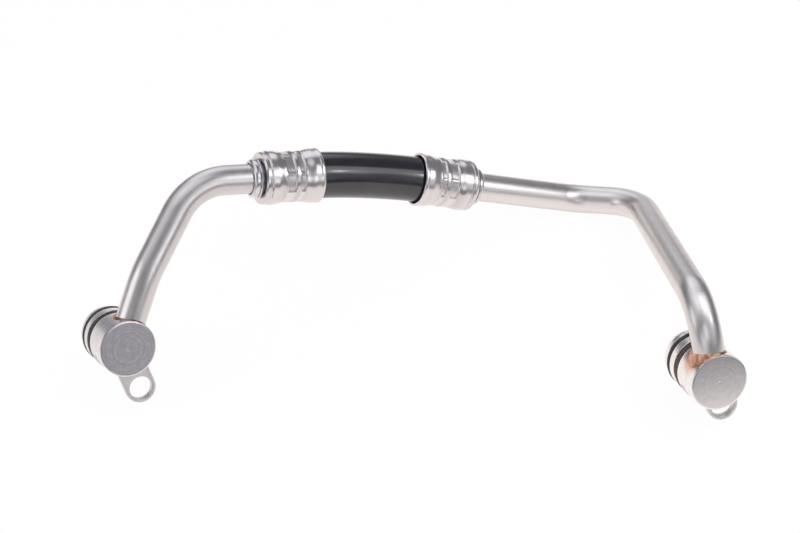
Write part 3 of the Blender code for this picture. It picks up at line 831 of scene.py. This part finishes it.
def plug_profile():
    """Half section of the plug as (height, radius), from the front face's middle round it."""
    rim = PLUG_RADIUS - PLUG_FRONT_CHAMFER
    profile = []
    for k in range(CENTRE_MARK_RINGS + 1):
        share = k / CENTRE_MARK_RINGS
        depth = CENTRE_MARK_DEPTH * (1 - share**2)
        profile.append((depth, max(AXIS_HOLE, CENTRE_MARK_RADIUS * share)))
    for k in range(1, FACE_RINGS + 1):
        wave = FACE_RING_HEIGHT * (k % 2)
        profile.append((wave, CENTRE_MARK_RADIUS + (rim - CENTRE_MARK_RADIUS) * k / FACE_RINGS))
    chamfer = PLUG_FRONT_CHAMFER
    profile.append((chamfer * EDGE_MIDDLE, rim + chamfer * (1 - EDGE_MIDDLE)))
    profile.append((chamfer, PLUG_RADIUS))
    nose = PLUG_NOSE_OD / 2
    for start, behind in zip(GROOVE_STARTS, (PLUG_RADIUS, nose)):
        profile += rounded_step(start, PLUG_RADIUS, rising=False)
        profile += rounded_step(start + GROOVE_WIDTH, behind, rising=True)
    chamfer_start = PLUG_LENGTH - PLUG_NOSE_CHAMFER_LENGTH
    end = nose - PLUG_NOSE_CHAMFER_DEPTH
    bore = PLUG_BORE / 2
    return profile + [
        (chamfer_start - NOSE_EDGE, nose),
        (chamfer_start + NOSE_ROUND, nose - NOSE_EASE),
        (PLUG_LENGTH - NOSE_EDGE, end + NOSE_EASE),
        (PLUG_LENGTH, end - NOSE_EDGE),
        (PLUG_LENGTH, bore + BORE_CHAMFER),
        (PLUG_LENGTH - BORE_CHAMFER, bore),
        (PLUG_BORE_END, bore),
        (PLUG_BORE_END, AXIS_HOLE),
    ]


def even_out(profile, longest):
    """Splits the long runs of a profile, so that stored values vary smoothly over them."""
    result = [profile[0]]
    for (h0, r0), (h1, r1) in zip(profile, profile[1:]):
        steps = max(1, round(sqrt((h1 - h0) ** 2 + (r1 - r0) ** 2) / longest))
        for k in range(1, steps + 1):
            result.append((h0 + (h1 - h0) * k / steps, r0 + (r1 - r0) * k / steps))
    return result


def facing(angle, towards):
    """How far an angle faces towards a direction, from 0 to 1."""
    return 0.5 + 0.5 * cos(angle - radians(towards))


def wash_at(point, plug, foot, side):
    """How far the copper wash covers a point of the plug's round side, near the pipe's foot."""
    if abs(point.xy.length - PLUG_RADIUS) > GROOVE_EDGE or point.z > GROOVE_STARTS[0]:
        return 0.0
    local = foot.inverted() @ plug @ point
    if local.z < 0:
        return 0.0
    reach = sqrt(local.x**2 + local.y**2) - PIPE_RADIUS
    ragged = 0.5 * MM * soft_noise(local.x * 900, local.y * 900, 3.1)
    ragged += 0.25 * MM * soft_noise(local.x * 2600, local.y * 2600, 8.7)
    ran = facing(atan2(local.y, local.x), side["wash_towards"])
    spread = side["wash_least"] + side["wash_more"] * ran ** side["wash_power"]
    strength = WASH_STRENGTH + side["wash_strength"] * ran
    return strength * (1 - smooth_step(spread * WASH_SOLID, spread, reach + ragged))


def add_plug(side_name, plug, foot, materials):
    rings = [
        circle_ring(radius, height, PLUG_SIDES)
        for height, radius in even_out(plug_profile(), PLUG_ROW)
    ]
    mesh = skin_mesh("plug_body", rings, closed=False)
    side = SIDES[side_name]
    values = [wash_at(vertex.co, plug, foot, side) for vertex in mesh.vertices]
    store_values(mesh, "braze_wash", values)
    node = f"{side_name}_plug_body"
    # The right plug takes the copy of its steel that is painted lighter, as painted light for its
    # brighter reflection
    steel = materials[f"{side_name}_turned"]
    finish_piece(f"{side_name}_plug", mesh, plug, steel, node, sharp=30.0)


def add_o_rings(side_name, plug, materials):
    """O-rings, each with the fine parting line of its mould round the outside."""
    for start, which in zip(GROOVE_STARTS, ("inner", "outer")):
        middle = start + GROOVE_WIDTH / 2
        rings = []
        for angle in turns(O_RING_SECTION_SIDES):
            section = O_RING_SECTION / 2 + (O_RING_PARTING_LINE if angle == 0 else 0.0)
            radius = O_RING_RADIUS + section * cos(angle)
            rings.append(circle_ring(radius, middle + section * sin(angle), O_RING_SIDES))
        mesh = skin_mesh("o_ring", rings, closed=True)
        aged = side_name == "right" and which == "inner"
        rubber = materials["brown_ring" if aged else "black_ring"]
        node = f"{side_name}_o_ring_{which}"
        finish_piece(f"{side_name}_ring_{which}", mesh, plug, rubber, node, sharp=60.0)


def arc(radius, start, end, centre=0.0):
    """Points of an arc about (centre, 0), in the XY plane."""
    steps = max(2, round(abs(end - start) / TAB_ARC_STEP))
    points = []
    for k in range(steps + 1):
        angle = radians(start + (end - start) * k / steps)
        points.append((centre + radius * cos(angle), radius * sin(angle)))
    return points


def tab_outline(reach):
    """Outline of the bolt tab: fork, parallel sides and round end, with +X to the hole."""
    half = TAB_WIDTH / 2
    fork_in = PLUG_RADIUS - TAB_SLOT_DEPTH + SEAT_GAP
    fork_out = PLUG_RADIUS + TAB_FORK_PROUD
    meet = degrees(asin(half / fork_out))
    outline = arc(fork_out, -90, -meet)
    outline += arc(half, -90, 90, reach)
    outline += arc(fork_out, meet, 90)
    outline += arc(fork_in, 90, -90)
    return outline


def add_bolt_tab(side_name, plug, reach, materials):
    """Stamped tab, drilled for its bolt, with the edges rounded."""
    outline = tab_outline(reach)
    faces = (TAB_START, TAB_START + TAB_THICKNESS)
    rings = [[Vector((x, y, height)) for x, y in outline] for height in faces]
    mesh = skin_mesh("bolt_tab", rings, closed=False)
    node = f"{side_name}_bolt_tab"
    tab = finish_piece(f"{side_name}_tab", mesh, plug, materials["tab"], node)
    heights = (TAB_START - TAB_THICKNESS, TAB_START + 2 * TAB_THICKNESS)
    hole = [circle_ring(TAB_HOLE / 2, height, TAB_HOLE_SIDES) for height in heights]
    drill = bpy.data.objects.new("drill", skin_mesh("drill", hole, closed=False))
    bpy.context.scene.collection.objects.link(drill)
    drill.matrix_world = plug @ Matrix.Translation((reach, 0.0, 0.0))
    cut = tab.modifiers.new("bolt_hole", "BOOLEAN")
    cut.operation = "DIFFERENCE"
    cut.solver = "EXACT"
    cut.object = drill
    edge = tab.modifiers.new("rounded_edges", "BEVEL")
    edge.width = TAB_EDGE
    edge.segments = 3
    edge.limit_method = "ANGLE"
    edge.angle_limit = radians(50)
    keep_result(tab)
    bpy.data.objects.remove(drill)


def keep_result(piece):
    """Turns the result of a piece's modifiers into its mesh."""
    bpy.context.view_layer.update()
    graph = bpy.context.evaluated_depsgraph_get()
    mesh = bpy.data.meshes.new_from_object(piece.evaluated_get(graph))
    piece.modifiers.clear()
    piece.data = mesh
    mesh.shade_smooth()
    mesh.set_sharp_from_angle(angle=radians(40))


def braze_leg(side, angle):
    """Leg of the braze round the pipe's foot. It swelled where it was fed in."""
    lumps = 0.14 * soft_noise(2.2 * cos(angle) + 5, 2.2 * sin(angle), 1.7)
    lumps += 0.07 * soft_noise(6 * cos(angle), 6 * sin(angle) + 3, 9.2)
    fed = facing(angle, side["fed_towards"])
    return side["braze"] * (side["fed_least"] + side["fed_more"] * fed**4 + lumps)


def add_tube_braze(side_name, foot, materials):
    """Frozen fillet of braze between the round plug and the pipe that stands on it."""
    side = SIDES[side_name]
    near = PIPE_RADIUS - BRAZE_OVERLAP
    room = min(PIPE_FOOT, GROOVE_STARTS[0] - PIPE_FOOT) - BRAZE_OVERLAP
    rings = []
    burnt = []
    for angle in turns(FILLET_SIDES):
        leg = braze_leg(side, angle)
        reach = near + leg * FILLET_REACH
        if abs(cos(angle)) * reach > room:
            reach = max(room / abs(cos(angle)), near + FILLET_LEAST)
        thin = 1 - smooth_step(*FILLET_THIN, leg)
        ring = []
        for k in range(FILLET_ROWS):
            share = k / (FILLET_ROWS - 1)
            radius = reach + (near - reach) * share**FILLET_HOLLOW
            lump = soft_noise(radius * 1800 * cos(angle), radius * 1800 * sin(angle), k)
            bump = FILLET_BUMP * lump * sin(pi * share)
            height = saddle_height(radius, angle) + leg * share**2 + bump
            ring.append(turned(radius, angle, height + BRAZE_LIFT))
            stain = soft_noise(4 * cos(angle), 4 * sin(angle), share * 2)
            dark = smooth_step(-0.1, 0.5, stain) * (1 - share)
            burnt.append(min(1.0, 0.15 + 0.75 * thin + 0.35 * dark))
        for radius in (near, reach):
            ring.append(turned(radius, angle, saddle_height(radius, angle) - BRAZE_SINK))
            burnt.append(0.5)
        rings.append(ring)
    mesh = skin_mesh("tube_braze", rings, closed=True)
    store_values(mesh, "burnt", burnt)
    node = f"{side_name}_tube_braze"
    copper = materials["braze"]
    finish_piece(f"{side_name}_foot_braze", mesh, foot, copper, node, sharp=75.0)


def add_tab_braze(side_name, plug, materials):
    """Fillet of braze in the corner between the plug and the front of its tab."""
    near = PLUG_RADIUS - BRAZE_OVERLAP
    face = TAB_START + BRAZE_LIFT
    spread = degrees(asin((TAB_WIDTH / 2 - SEAT_GAP) / (near + TAB_BRAZE_LEG)))
    rings = []
    burnt = []
    for i in range(TAB_BRAZE_STEPS + 1):
        along = i / TAB_BRAZE_STEPS
        angle = radians(-spread + 2 * spread * along)
        swell = 0.75 + 0.3 * soft_noise(along * 7, 2.3) + 0.1 * soft_noise(along * 19, 7.7)
        leg = TAB_BRAZE_LEG * swell * max(0.25, sin(pi * along) ** 0.4)
        ring = [turned(near, angle, face)]
        for k in range(TAB_BRAZE_ROWS):
            share = k / (TAB_BRAZE_ROWS - 1)
            radius = near + leg * (1 - share) ** TAB_BRAZE_HOLLOW
            ring.append(turned(radius, angle, face - leg * share**TAB_BRAZE_HOLLOW))
        for k in range(len(ring)):
            burnt.append(max(0.0, min(1.0, 0.45 + 0.4 * soft_noise(along * 9, k * 0.7, 4))))
        rings.append(ring)
    mesh = skin_mesh("tab_braze", rings, closed=False)
    store_values(mesh, "burnt", burnt)
    node = f"{side_name}_tab_braze"
    copper = materials["braze"]
    finish_piece(f"{side_name}_fork_braze", mesh, plug, copper, node, sharp=75.0)


def add_pipe(side_name, side, foot, materials):
    """Bent pipe. Its bends are pulled a little oval, and the foot is cut to the plug's round."""
    route = [corner + LAYOUT_SHIFT for corner in side["route"]]
    last = (route[-1] - route[-2]).normalized()
    route[-1] = route[-1] + last * (INSERT_SOCKET_DEPTH - SEAT_GAP)
    stations = bent_path(route, side["bends"])
    places = [station[0] for station in stations]
    frames = path_frames(places, [station[1] for station in stations], axis_of(foot, 0))
    rings = []
    run = []
    heat = []
    length = 0.0
    for k, ((_, _, bend, inward), matrix) in enumerate(zip(stations, frames)):
        if k:
            length += (places[k] - places[k - 1]).length
        # The first ring is cut to the plug's round, and the next starts clear of the plug
        if 0 < length < PLUG_RADIUS + FIRST_RING_GAP:
            continue
        ring = []
        for angle in turns(PIPE_SIDES):
            outward = matrix.to_3x3() @ turned(1.0, angle, 0.0)
            radius = PIPE_RADIUS
            if inward is not None:
                in_plane = outward.dot(inward) ** 2
                pressed_in = BEND_FLATTENED * in_plane - BEND_WIDENED * (1 - in_plane)
                radius *= 1 - bend * pressed_in
            place = matrix.translation + outward * radius
            at = length
            if length == 0:
                at = saddle_height(PIPE_RADIUS, angle)
                place = foot @ turned(PIPE_RADIUS, angle, at)
            ring.append(place)
            run.append(turned(PIPE_RADIUS, angle, at))
            ragged = 0.8 * MM * soft_noise(cos(angle) * 1.6, sin(angle) * 1.6, at * 300)
            heat.append(HEAT_STRENGTH * (1 - smooth_step(*HEAT_FADE, at + ragged)))
        rings.append(ring)
    inner_share = 1 - PIPE_WALL / PIPE_RADIUS
    for ring in reversed(rings[:]):
        centre = sum(ring, Vector()) / PIPE_SIDES
        rings.append([centre + (point - centre) * inner_share for point in ring])
        run += [(0.0, 0.0, 0.0)] * PIPE_SIDES
        heat += [0.0] * PIPE_SIDES
    mesh = skin_mesh("pipe", rings, closed=True)
    store_vectors(mesh, "tube_run", run)
    store_values(mesh, "heat", heat)
    node = f"{side_name}_pipe"
    still = Matrix.Identity(4)
    finish_piece(f"{side_name}_tube", mesh, still, materials["pipe"], node)


def insert_profile():
    """Closed half section of the insert's collar and stem, with rounded rings."""
    collar = INSERT_COLLAR_OD / 2
    dome = INSERT_COLLAR_DOME
    ring_start = INSERT_COLLAR_LENGTH + INSERT_GROOVE_LENGTH
    profile = []
    for k in range(DOME_STEPS + 1):
        angle = radians(90 * k / DOME_STEPS)
        profile.append((dome * (1 - cos(angle)), collar - dome * (1 - sin(angle))))
    profile.append((INSERT_COLLAR_LENGTH - GROOVE_EDGE, collar))
    profile.append((INSERT_COLLAR_LENGTH, INSERT_GROOVE_OD / 2))
    profile.append((ring_start, INSERT_GROOVE_OD / 2))
    for k in range(RING_STEPS + 1):
        angle = radians(-90 + 180 * k / RING_STEPS)
        height = ring_start + INSERT_RING_LENGTH / 2 * (1 + sin(angle))
        profile.append((height, INSERT_RING_OD / 2 - INSERT_RING_ROUND * (1 - cos(angle))))
    neck = INSERT_NECK_OD / 2
    neck_end = HOSE_START - HOSE_END_GAP / 2
    stem = INSERT_STEM_OD / 2
    end = HOSE_START + INSERT_STEM_LENGTH
    socket = PIPE_RADIUS + BRAZE_GAP
    return profile + [
        (INSERT_COLLAR_END, neck),
        (neck_end, neck),
        (neck_end, stem),
        (end, stem),
        (end, INSERT_BORE / 2),
        (INSERT_SOCKET_DEPTH, INSERT_BORE / 2),
        (INSERT_SOCKET_DEPTH, socket),
        (SOCKET_CHAMFER_LENGTH, socket),
        (0.0, socket + SOCKET_CHAMFER_DEPTH),
    ]


def add_hose_insert(side_name, end, materials):
    """Turned insert on the pipe's end. Both are of the left plug's steel, which is darker than the
    right plug's copy painted lighter for brighter reflected light.
    """
    rings = [circle_ring(radius, height, INSERT_SIDES) for height, radius in insert_profile()]
    mesh = skin_mesh("hose_insert", rings, closed=True)
    store_values(mesh, "braze_wash", [0.0] * len(mesh.vertices))
    node = f"{side_name}_hose_insert"
    steel = materials["left_turned"]
    finish_piece(f"{side_name}_insert", mesh, end, steel, node, sharp=30.0)


def run_along(points, height, ease):
    """Radius at a height on a run through (height, radius) points, eased between them."""
    for (low, start), (high, end) in zip(points, points[1:]):
        if height <= high:
            return start + (end - start) * ease(low, high, height)
    return points[-1][1]


def ferrule_outside(height):
    """Radius of the pressed shell at a height, before the jaws closed on it."""
    shoulder = FERRULE_SHOULDER_OD / 2
    lip = FERRULE_LIP_OD / 2
    groove = FERRULE_LIP_GROOVE_OD / 2
    rim = FERRULE_RIM_OD / 2
    flare = FERRULE_FLARE_OD / 2
    groove_end = FERRULE_LIP_LENGTH + FERRULE_LIP_GROOVE_LENGTH
    points = (
        (0.0, FERRULE_END_OD / 2),
        (FERRULE_LIP_ROUND, lip),
        (FERRULE_LIP_LENGTH - FERRULE_STEP / 2, lip),
        (FERRULE_LIP_LENGTH + FERRULE_STEP / 2, groove),
        (groove_end - FERRULE_STEP / 2, groove),
        (groove_end + FERRULE_STEP, shoulder),
        (FERRULE_SHOULDER_END, shoulder),
        (FERRULE_CRIMP_STARTS[0], FERRULE_RIDGE_OD / 2),
        (FERRULE_CRIMP_ENDS[1], FERRULE_RIDGE_OD / 2),
        (FERRULE_FLARE_END, flare),
        (FERRULE_RIM_FOOT, flare + FERRULE_FLARE_RISE),
        (FERRULE_RIM_START, rim),
        (FERRULE_LENGTH - FERRULE_STEP, rim),
        (FERRULE_LENGTH, rim - FERRULE_RIM_ROUND),
    )
    return run_along(points, height, smooth_step)


def ferrule_inside(height):
    """Radius of the ferrule's bore, which is what squeezes the hose."""
    shoulder = FERRULE_SHOULDER_OD / 2 - FERRULE_WALL * 1.5
    crimp = FERRULE_CRIMP_FLAT - FERRULE_WALL
    points = (
        (FERRULE_END_WALL, shoulder),
        (FERRULE_SHOULDER_END, shoulder),
        (FERRULE_CRIMP_STARTS[0], crimp),
        (FERRULE_CRIMP_ENDS[1], crimp),
        (FERRULE_MOUTH_START, FERRULE_MOUTH - FERRULE_WALL / 4),
        (FERRULE_LENGTH, FERRULE_MOUTH),
    )
    return run_along(points, height, straight_step)


def jaw_press(height, jaw, seed):
    """How hard a jaw presses at a height: 0 outside the crimps, 1 in their flats."""
    press = 0.0
    for band, (start, end) in enumerate(zip(FERRULE_CRIMP_STARTS, FERRULE_CRIMP_ENDS)):
        slip = FERRULE_SLIP * soft_noise(jaw * 3.7, band * 5.1, seed)
        rise = smooth_step(start + slip, start + slip + FERRULE_CRIMP_EDGE, height)
        fall = 1 - smooth_step(end + slip - FERRULE_CRIMP_EDGE, end + slip, height)
        press = max(press, rise * fall)
    return press


def pressed_radius(angle, height, jaw, seed):
    """Radius in a crimp: flats by the jaws, with thin ribs squeezed up between them."""
    sector = 2 * pi / FERRULE_JAWS
    from_middle = (angle % sector) - sector / 2
    depth = FERRULE_DEPTH_VARIES * soft_noise(jaw * 2.3, 1.1, seed)
    tilt = FERRULE_TILT_VARIES * soft_noise(jaw * 1.7, 4.2, seed)
    facet = 1 + FERRULE_FACET * (1 / cos(from_middle + tilt) - 1)
    flat = min((FERRULE_CRIMP_FLAT + depth) * facet, FERRULE_CRIMP_CORNER)
    from_corner = sector / 2 - abs(from_middle)
    rib = FERRULE_RIB_HEIGHT * exp(-((from_corner / FERRULE_RIB_WIDTH) ** 2))
    return flat + rib + FERRULE_DENTS * soft_noise(angle * 5, height * 900, seed)


def add_ferrule(side_name, end, materials):
    """Crimped ferrule, pressed from sheet: lip, shoulder, two crimps, flare and rolled rim."""
    seed = SIDES[side_name]["crimp_seed"]
    rows = round(FERRULE_LENGTH / FERRULE_ROW)
    rings = []
    pressed = []
    for row in range(rows + 1):
        height = FERRULE_LENGTH * row / rows
        ring = []
        for angle in turns(FERRULE_SIDES):
            jaw = int(angle / (2 * pi / FERRULE_JAWS))
            press = jaw_press(height, jaw, seed)
            radius = ferrule_outside(height)
            if press > 0:
                crimped = pressed_radius(angle, height, jaw, seed)
                radius = radius * (1 - press) + crimped * press
            ring.append(turned(radius, angle, FERRULE_START + height))
            pressed.append(press)
        rings.append(ring)
    crimp = FERRULE_CRIMP_FLAT - FERRULE_WALL - FERRULE_STEP
    neck_hole = INSERT_NECK_OD / 2 + SEAT_GAP
    inside = (
        (FERRULE_LENGTH, FERRULE_MOUTH + FERRULE_STEP),
        (FERRULE_LENGTH - FERRULE_MOUTH_ROUND, FERRULE_MOUTH),
        (FERRULE_MOUTH_START, FERRULE_MOUTH - FERRULE_WALL / 4),
        (FERRULE_CRIMP_ENDS[1], crimp),
        (FERRULE_END_WALL, crimp),
        (FERRULE_END_WALL, neck_hole),
        (0.0, neck_hole),
    )
    for height, radius in inside:
        rings.append(circle_ring(radius, FERRULE_START + height, FERRULE_SIDES))
        pressed += [0.0] * FERRULE_SIDES
    mesh = skin_mesh("ferrule", rings, closed=True)
    store_values(mesh, "pressed", pressed)
    node = f"{side_name}_ferrule"
    steel = materials["ferrule"]
    finish_piece(f"{side_name}_shell", mesh, end, steel, node, sharp=32.0)


def hose_stations(left, right):
    """Hose centre line and radius, from inside one ferrule to inside the other."""
    inside = (FERRULE_SHOULDER_END, FERRULE_CRIMP_STARTS[0], FERRULE_CRIMP_ENDS[1])
    inside += (FERRULE_MOUTH_START, FERRULE_LENGTH)
    heights = [HOSE_START] + [FERRULE_START + height for height in inside]
    grip = [
        min(ferrule_inside(height - FERRULE_START) - SEAT_GAP, HOSE_OD / 2) for height in heights
    ]

    def held(end, way):
        axis = axis_of(end, 2)
        places = [end.translation + axis * height for height in heights]
        return [(place, axis * way, radius) for place, radius in zip(places, grip)]

    first = held(left, 1)
    last = held(right, -1)[::-1]
    start, start_along, _ = first[-1]
    end, end_along, _ = last[0]
    pull = (end - start).length * HOSE_STIFFNESS
    middle = []
    for k in range(1, HOSE_SPAN_STEPS):
        t = k / HOSE_SPAN_STEPS
        place = (
            start * (2 * t**3 - 3 * t**2 + 1)
            + start_along * pull * (t**3 - 2 * t**2 + t)
            + end * (3 * t**2 - 2 * t**3)
            + end_along * pull * (t**3 - t**2)
        )
        along = (
            start * (6 * t**2 - 6 * t)
            + start_along * pull * (3 * t**2 - 4 * t + 1)
            + end * (6 * t - 6 * t**2)
            + end_along * pull * (3 * t**2 - 2 * t)
        )
        middle.append((place, along.normalized(), HOSE_OD / 2))
    return first + middle + last


def add_hose(left, right, materials):
    """Rubber hose, squeezed thinner inside the ferrules."""
    stations = hose_stations(left, right)
    places = [place for place, _, _ in stations]
    frames = path_frames(places, [along for _, along, _ in stations], UP)
    rings = []
    run = []
    length = 0.0
    for k, ((_, _, radius), matrix) in enumerate(zip(stations, frames)):
        if k:
            length += (places[k] - places[k - 1]).length
        rings.append(circle_ring(radius, 0.0, HOSE_SIDES, matrix))
        run += circle_ring(HOSE_OD / 2, length, HOSE_SIDES)
    for matrix in reversed(frames):
        rings.append(circle_ring(HOSE_BORE / 2, 0.0, HOSE_SIDES, matrix))
        run += [(0.0, 0.0, 0.0)] * HOSE_SIDES
    mesh = skin_mesh("hose", rings, closed=True)
    store_vectors(mesh, "tube_run", run)
    still = Matrix.Identity(4)
    finish_piece("rubber_hose", mesh, still, materials["hose"], "hose", sharp=50.0)


def add_side(side_name, materials):
    """Everything on one side of the hose. Returns the frame of its hose end."""
    side = SIDES[side_name]
    route = [corner + LAYOUT_SHIFT for corner in side["route"]]
    plug = plug_frame(side)
    foot = foot_frame(plug, route[1] - route[0])
    end = frame_from(route[-1], route[-1] - route[-2], UP)
    add_plug(side_name, plug, foot, materials)
    add_o_rings(side_name, plug, materials)
    add_bolt_tab(side_name, plug, side["tab_reach"], materials)
    add_tab_braze(side_name, plug, materials)
    add_tube_braze(side_name, foot, materials)
    add_pipe(side_name, side, foot, materials)
    add_hose_insert(side_name, end, materials)
    add_ferrule(side_name, end, materials)
    return end


# Stage


def add_camera():
    right = CAMERA_RIGHT.normalized()
    up = (CAMERA_UP - right * CAMERA_UP.dot(right)).normalized()
    matrix = Matrix((right, up, right.cross(up))).transposed().to_4x4()
    matrix.translation = CAMERA_PLACE + LAYOUT_SHIFT
    data = bpy.data.cameras.new("camera")
    data.lens = CAMERA_LENS
    data.sensor_width = CAMERA_SENSOR
    data.shift_x = -HALF_PIXEL
    data.shift_y = HALF_PIXEL
    data.clip_start = CAMERA_CLIP
    camera = bpy.data.objects.new("camera", data)
    bpy.context.scene.collection.objects.link(camera)
    camera.matrix_world = matrix
    bpy.context.scene.camera = camera


def add_floor():
    """Pale sheet under the line. It is white to the camera, and metal sees where it ends."""
    mesh = bpy.data.meshes.new("floor")
    far = FLOOR_REACH
    corners = [(-far, -far, 0.0), (far, -far, 0.0), (far, far, 0.0), (-far, far, 0.0)]
    mesh.from_pydata(corners, [], [(0, 1, 2, 3)])
    floor = bpy.data.objects.new("floor", mesh)
    bpy.context.scene.collection.objects.link(floor)
    material = bpy.data.materials.new("pale_sheet")
    material.use_nodes = True
    tree = material.node_tree
    tree.nodes.clear()
    mesh.materials.append(material)

    place = tree.nodes.new("ShaderNodeTexCoord").outputs["Object"]
    from_middle = add_vector_math(tree, "SUBTRACT", place, FLOOR_MIDDLE)["Vector"]
    distance = add_vector_math(tree, "LENGTH", from_middle)["Value"]
    past_edge = map_value(tree, distance, FLOOR_FADE)
    mirrored = tree.nodes.new("ShaderNodeEmission")
    seen_in_metal = mix_colours(tree, past_edge, FLOOR_PALE, FLOOR_DARK)
    tree.links.new(seen_in_metal, mirrored.inputs["Color"])
    white = tree.nodes.new("ShaderNodeEmission")
    shadowed = tree.nodes.new("ShaderNodeBsdfDiffuse")
    shadowed.inputs["Color"].default_value = (1.0, 1.0, 1.0, 1.0)
    seen = mix_shaders(tree, FLOOR_WHITE, shadowed.outputs[0], white.outputs[0])
    to_camera = tree.nodes.new("ShaderNodeLightPath").outputs["Is Camera Ray"]
    choice = mix_shaders(tree, to_camera, mirrored.outputs[0], seen)
    output = tree.nodes.new("ShaderNodeOutputMaterial")
    tree.links.new(choice, output.inputs["Surface"])


def add_glow(tree, direction, towards, radius, softness, level):
    """A soft round light area of the room, in one direction. Returns how bright it adds."""
    dot = add_vector_math(tree, "DOT_PRODUCT", direction, Vector(towards).normalized())
    outer = cos(radians(radius + softness))
    inner = cos(radians(max(0.0, radius - softness)))
    return map_value(tree, dot["Value"], (outer, inner), (0.0, level))


def add_room():
    """World of the studio. The camera and matt things see it plain, and metal sees light areas."""
    world = bpy.data.worlds.new("studio")
    bpy.context.scene.world = world
    world.use_nodes = True
    tree = world.node_tree
    tree.nodes.clear()
    direction = tree.nodes.new("ShaderNodeTexCoord").outputs["Generated"]
    tone = ROOM_LEVEL
    for glow in GLOWS:
        tone = add_math(tree, "ADD", add_glow(tree, direction, **glow), tone)
    metal_sees = tree.nodes.new("ShaderNodeCombineColor")
    tree.links.new(tone, metal_sees.inputs["Red"])
    tree.links.new(tone, metal_sees.inputs["Green"])
    tree.links.new(add_math(tree, "MULTIPLY", tone, ROOM_BLUE), metal_sees.inputs["Blue"])
    path = tree.nodes.new("ShaderNodeLightPath")
    lit = metal_sees.outputs["Color"]
    soft = mix_colours(tree, path.outputs["Is Diffuse Ray"], lit, ROOM_PLAIN)
    seen = mix_colours(tree, path.outputs["Is Camera Ray"], soft, (1.0, 1.0, 1.0))
    background = tree.nodes.new("ShaderNodeBackground")
    tree.links.new(seen, background.inputs["Color"])
    output = tree.nodes.new("ShaderNodeOutputWorld")
    tree.links.new(background.outputs[0], output.inputs["Surface"])


def add_lamp(name, target, towards, distance, width, watts):
    """A square lamp that stands off from its target in a direction and faces it."""
    target = Vector(target)
    place = target + Vector(towards) * distance
    data = bpy.data.lights.new(name, "AREA")
    data.shape = "SQUARE"
    data.size = width
    data.energy = watts
    lamp = bpy.data.objects.new(name, data)
    bpy.context.scene.collection.objects.link(lamp)
    matrix = (place - target).normalized().to_track_quat("Z", "Y").to_matrix().to_4x4()
    matrix.translation = place
    lamp.matrix_world = matrix


def main():
    add_camera()
    add_floor()
    add_room()
    for name, lamp in LAMPS.items():
        add_lamp(name, **lamp)
    materials = make_materials()
    left = add_side("left", materials)
    right = add_side("right", materials)
    add_hose(left, right, materials)


bpy.context.scene.view_settings.view_transform = "Standard"
main()
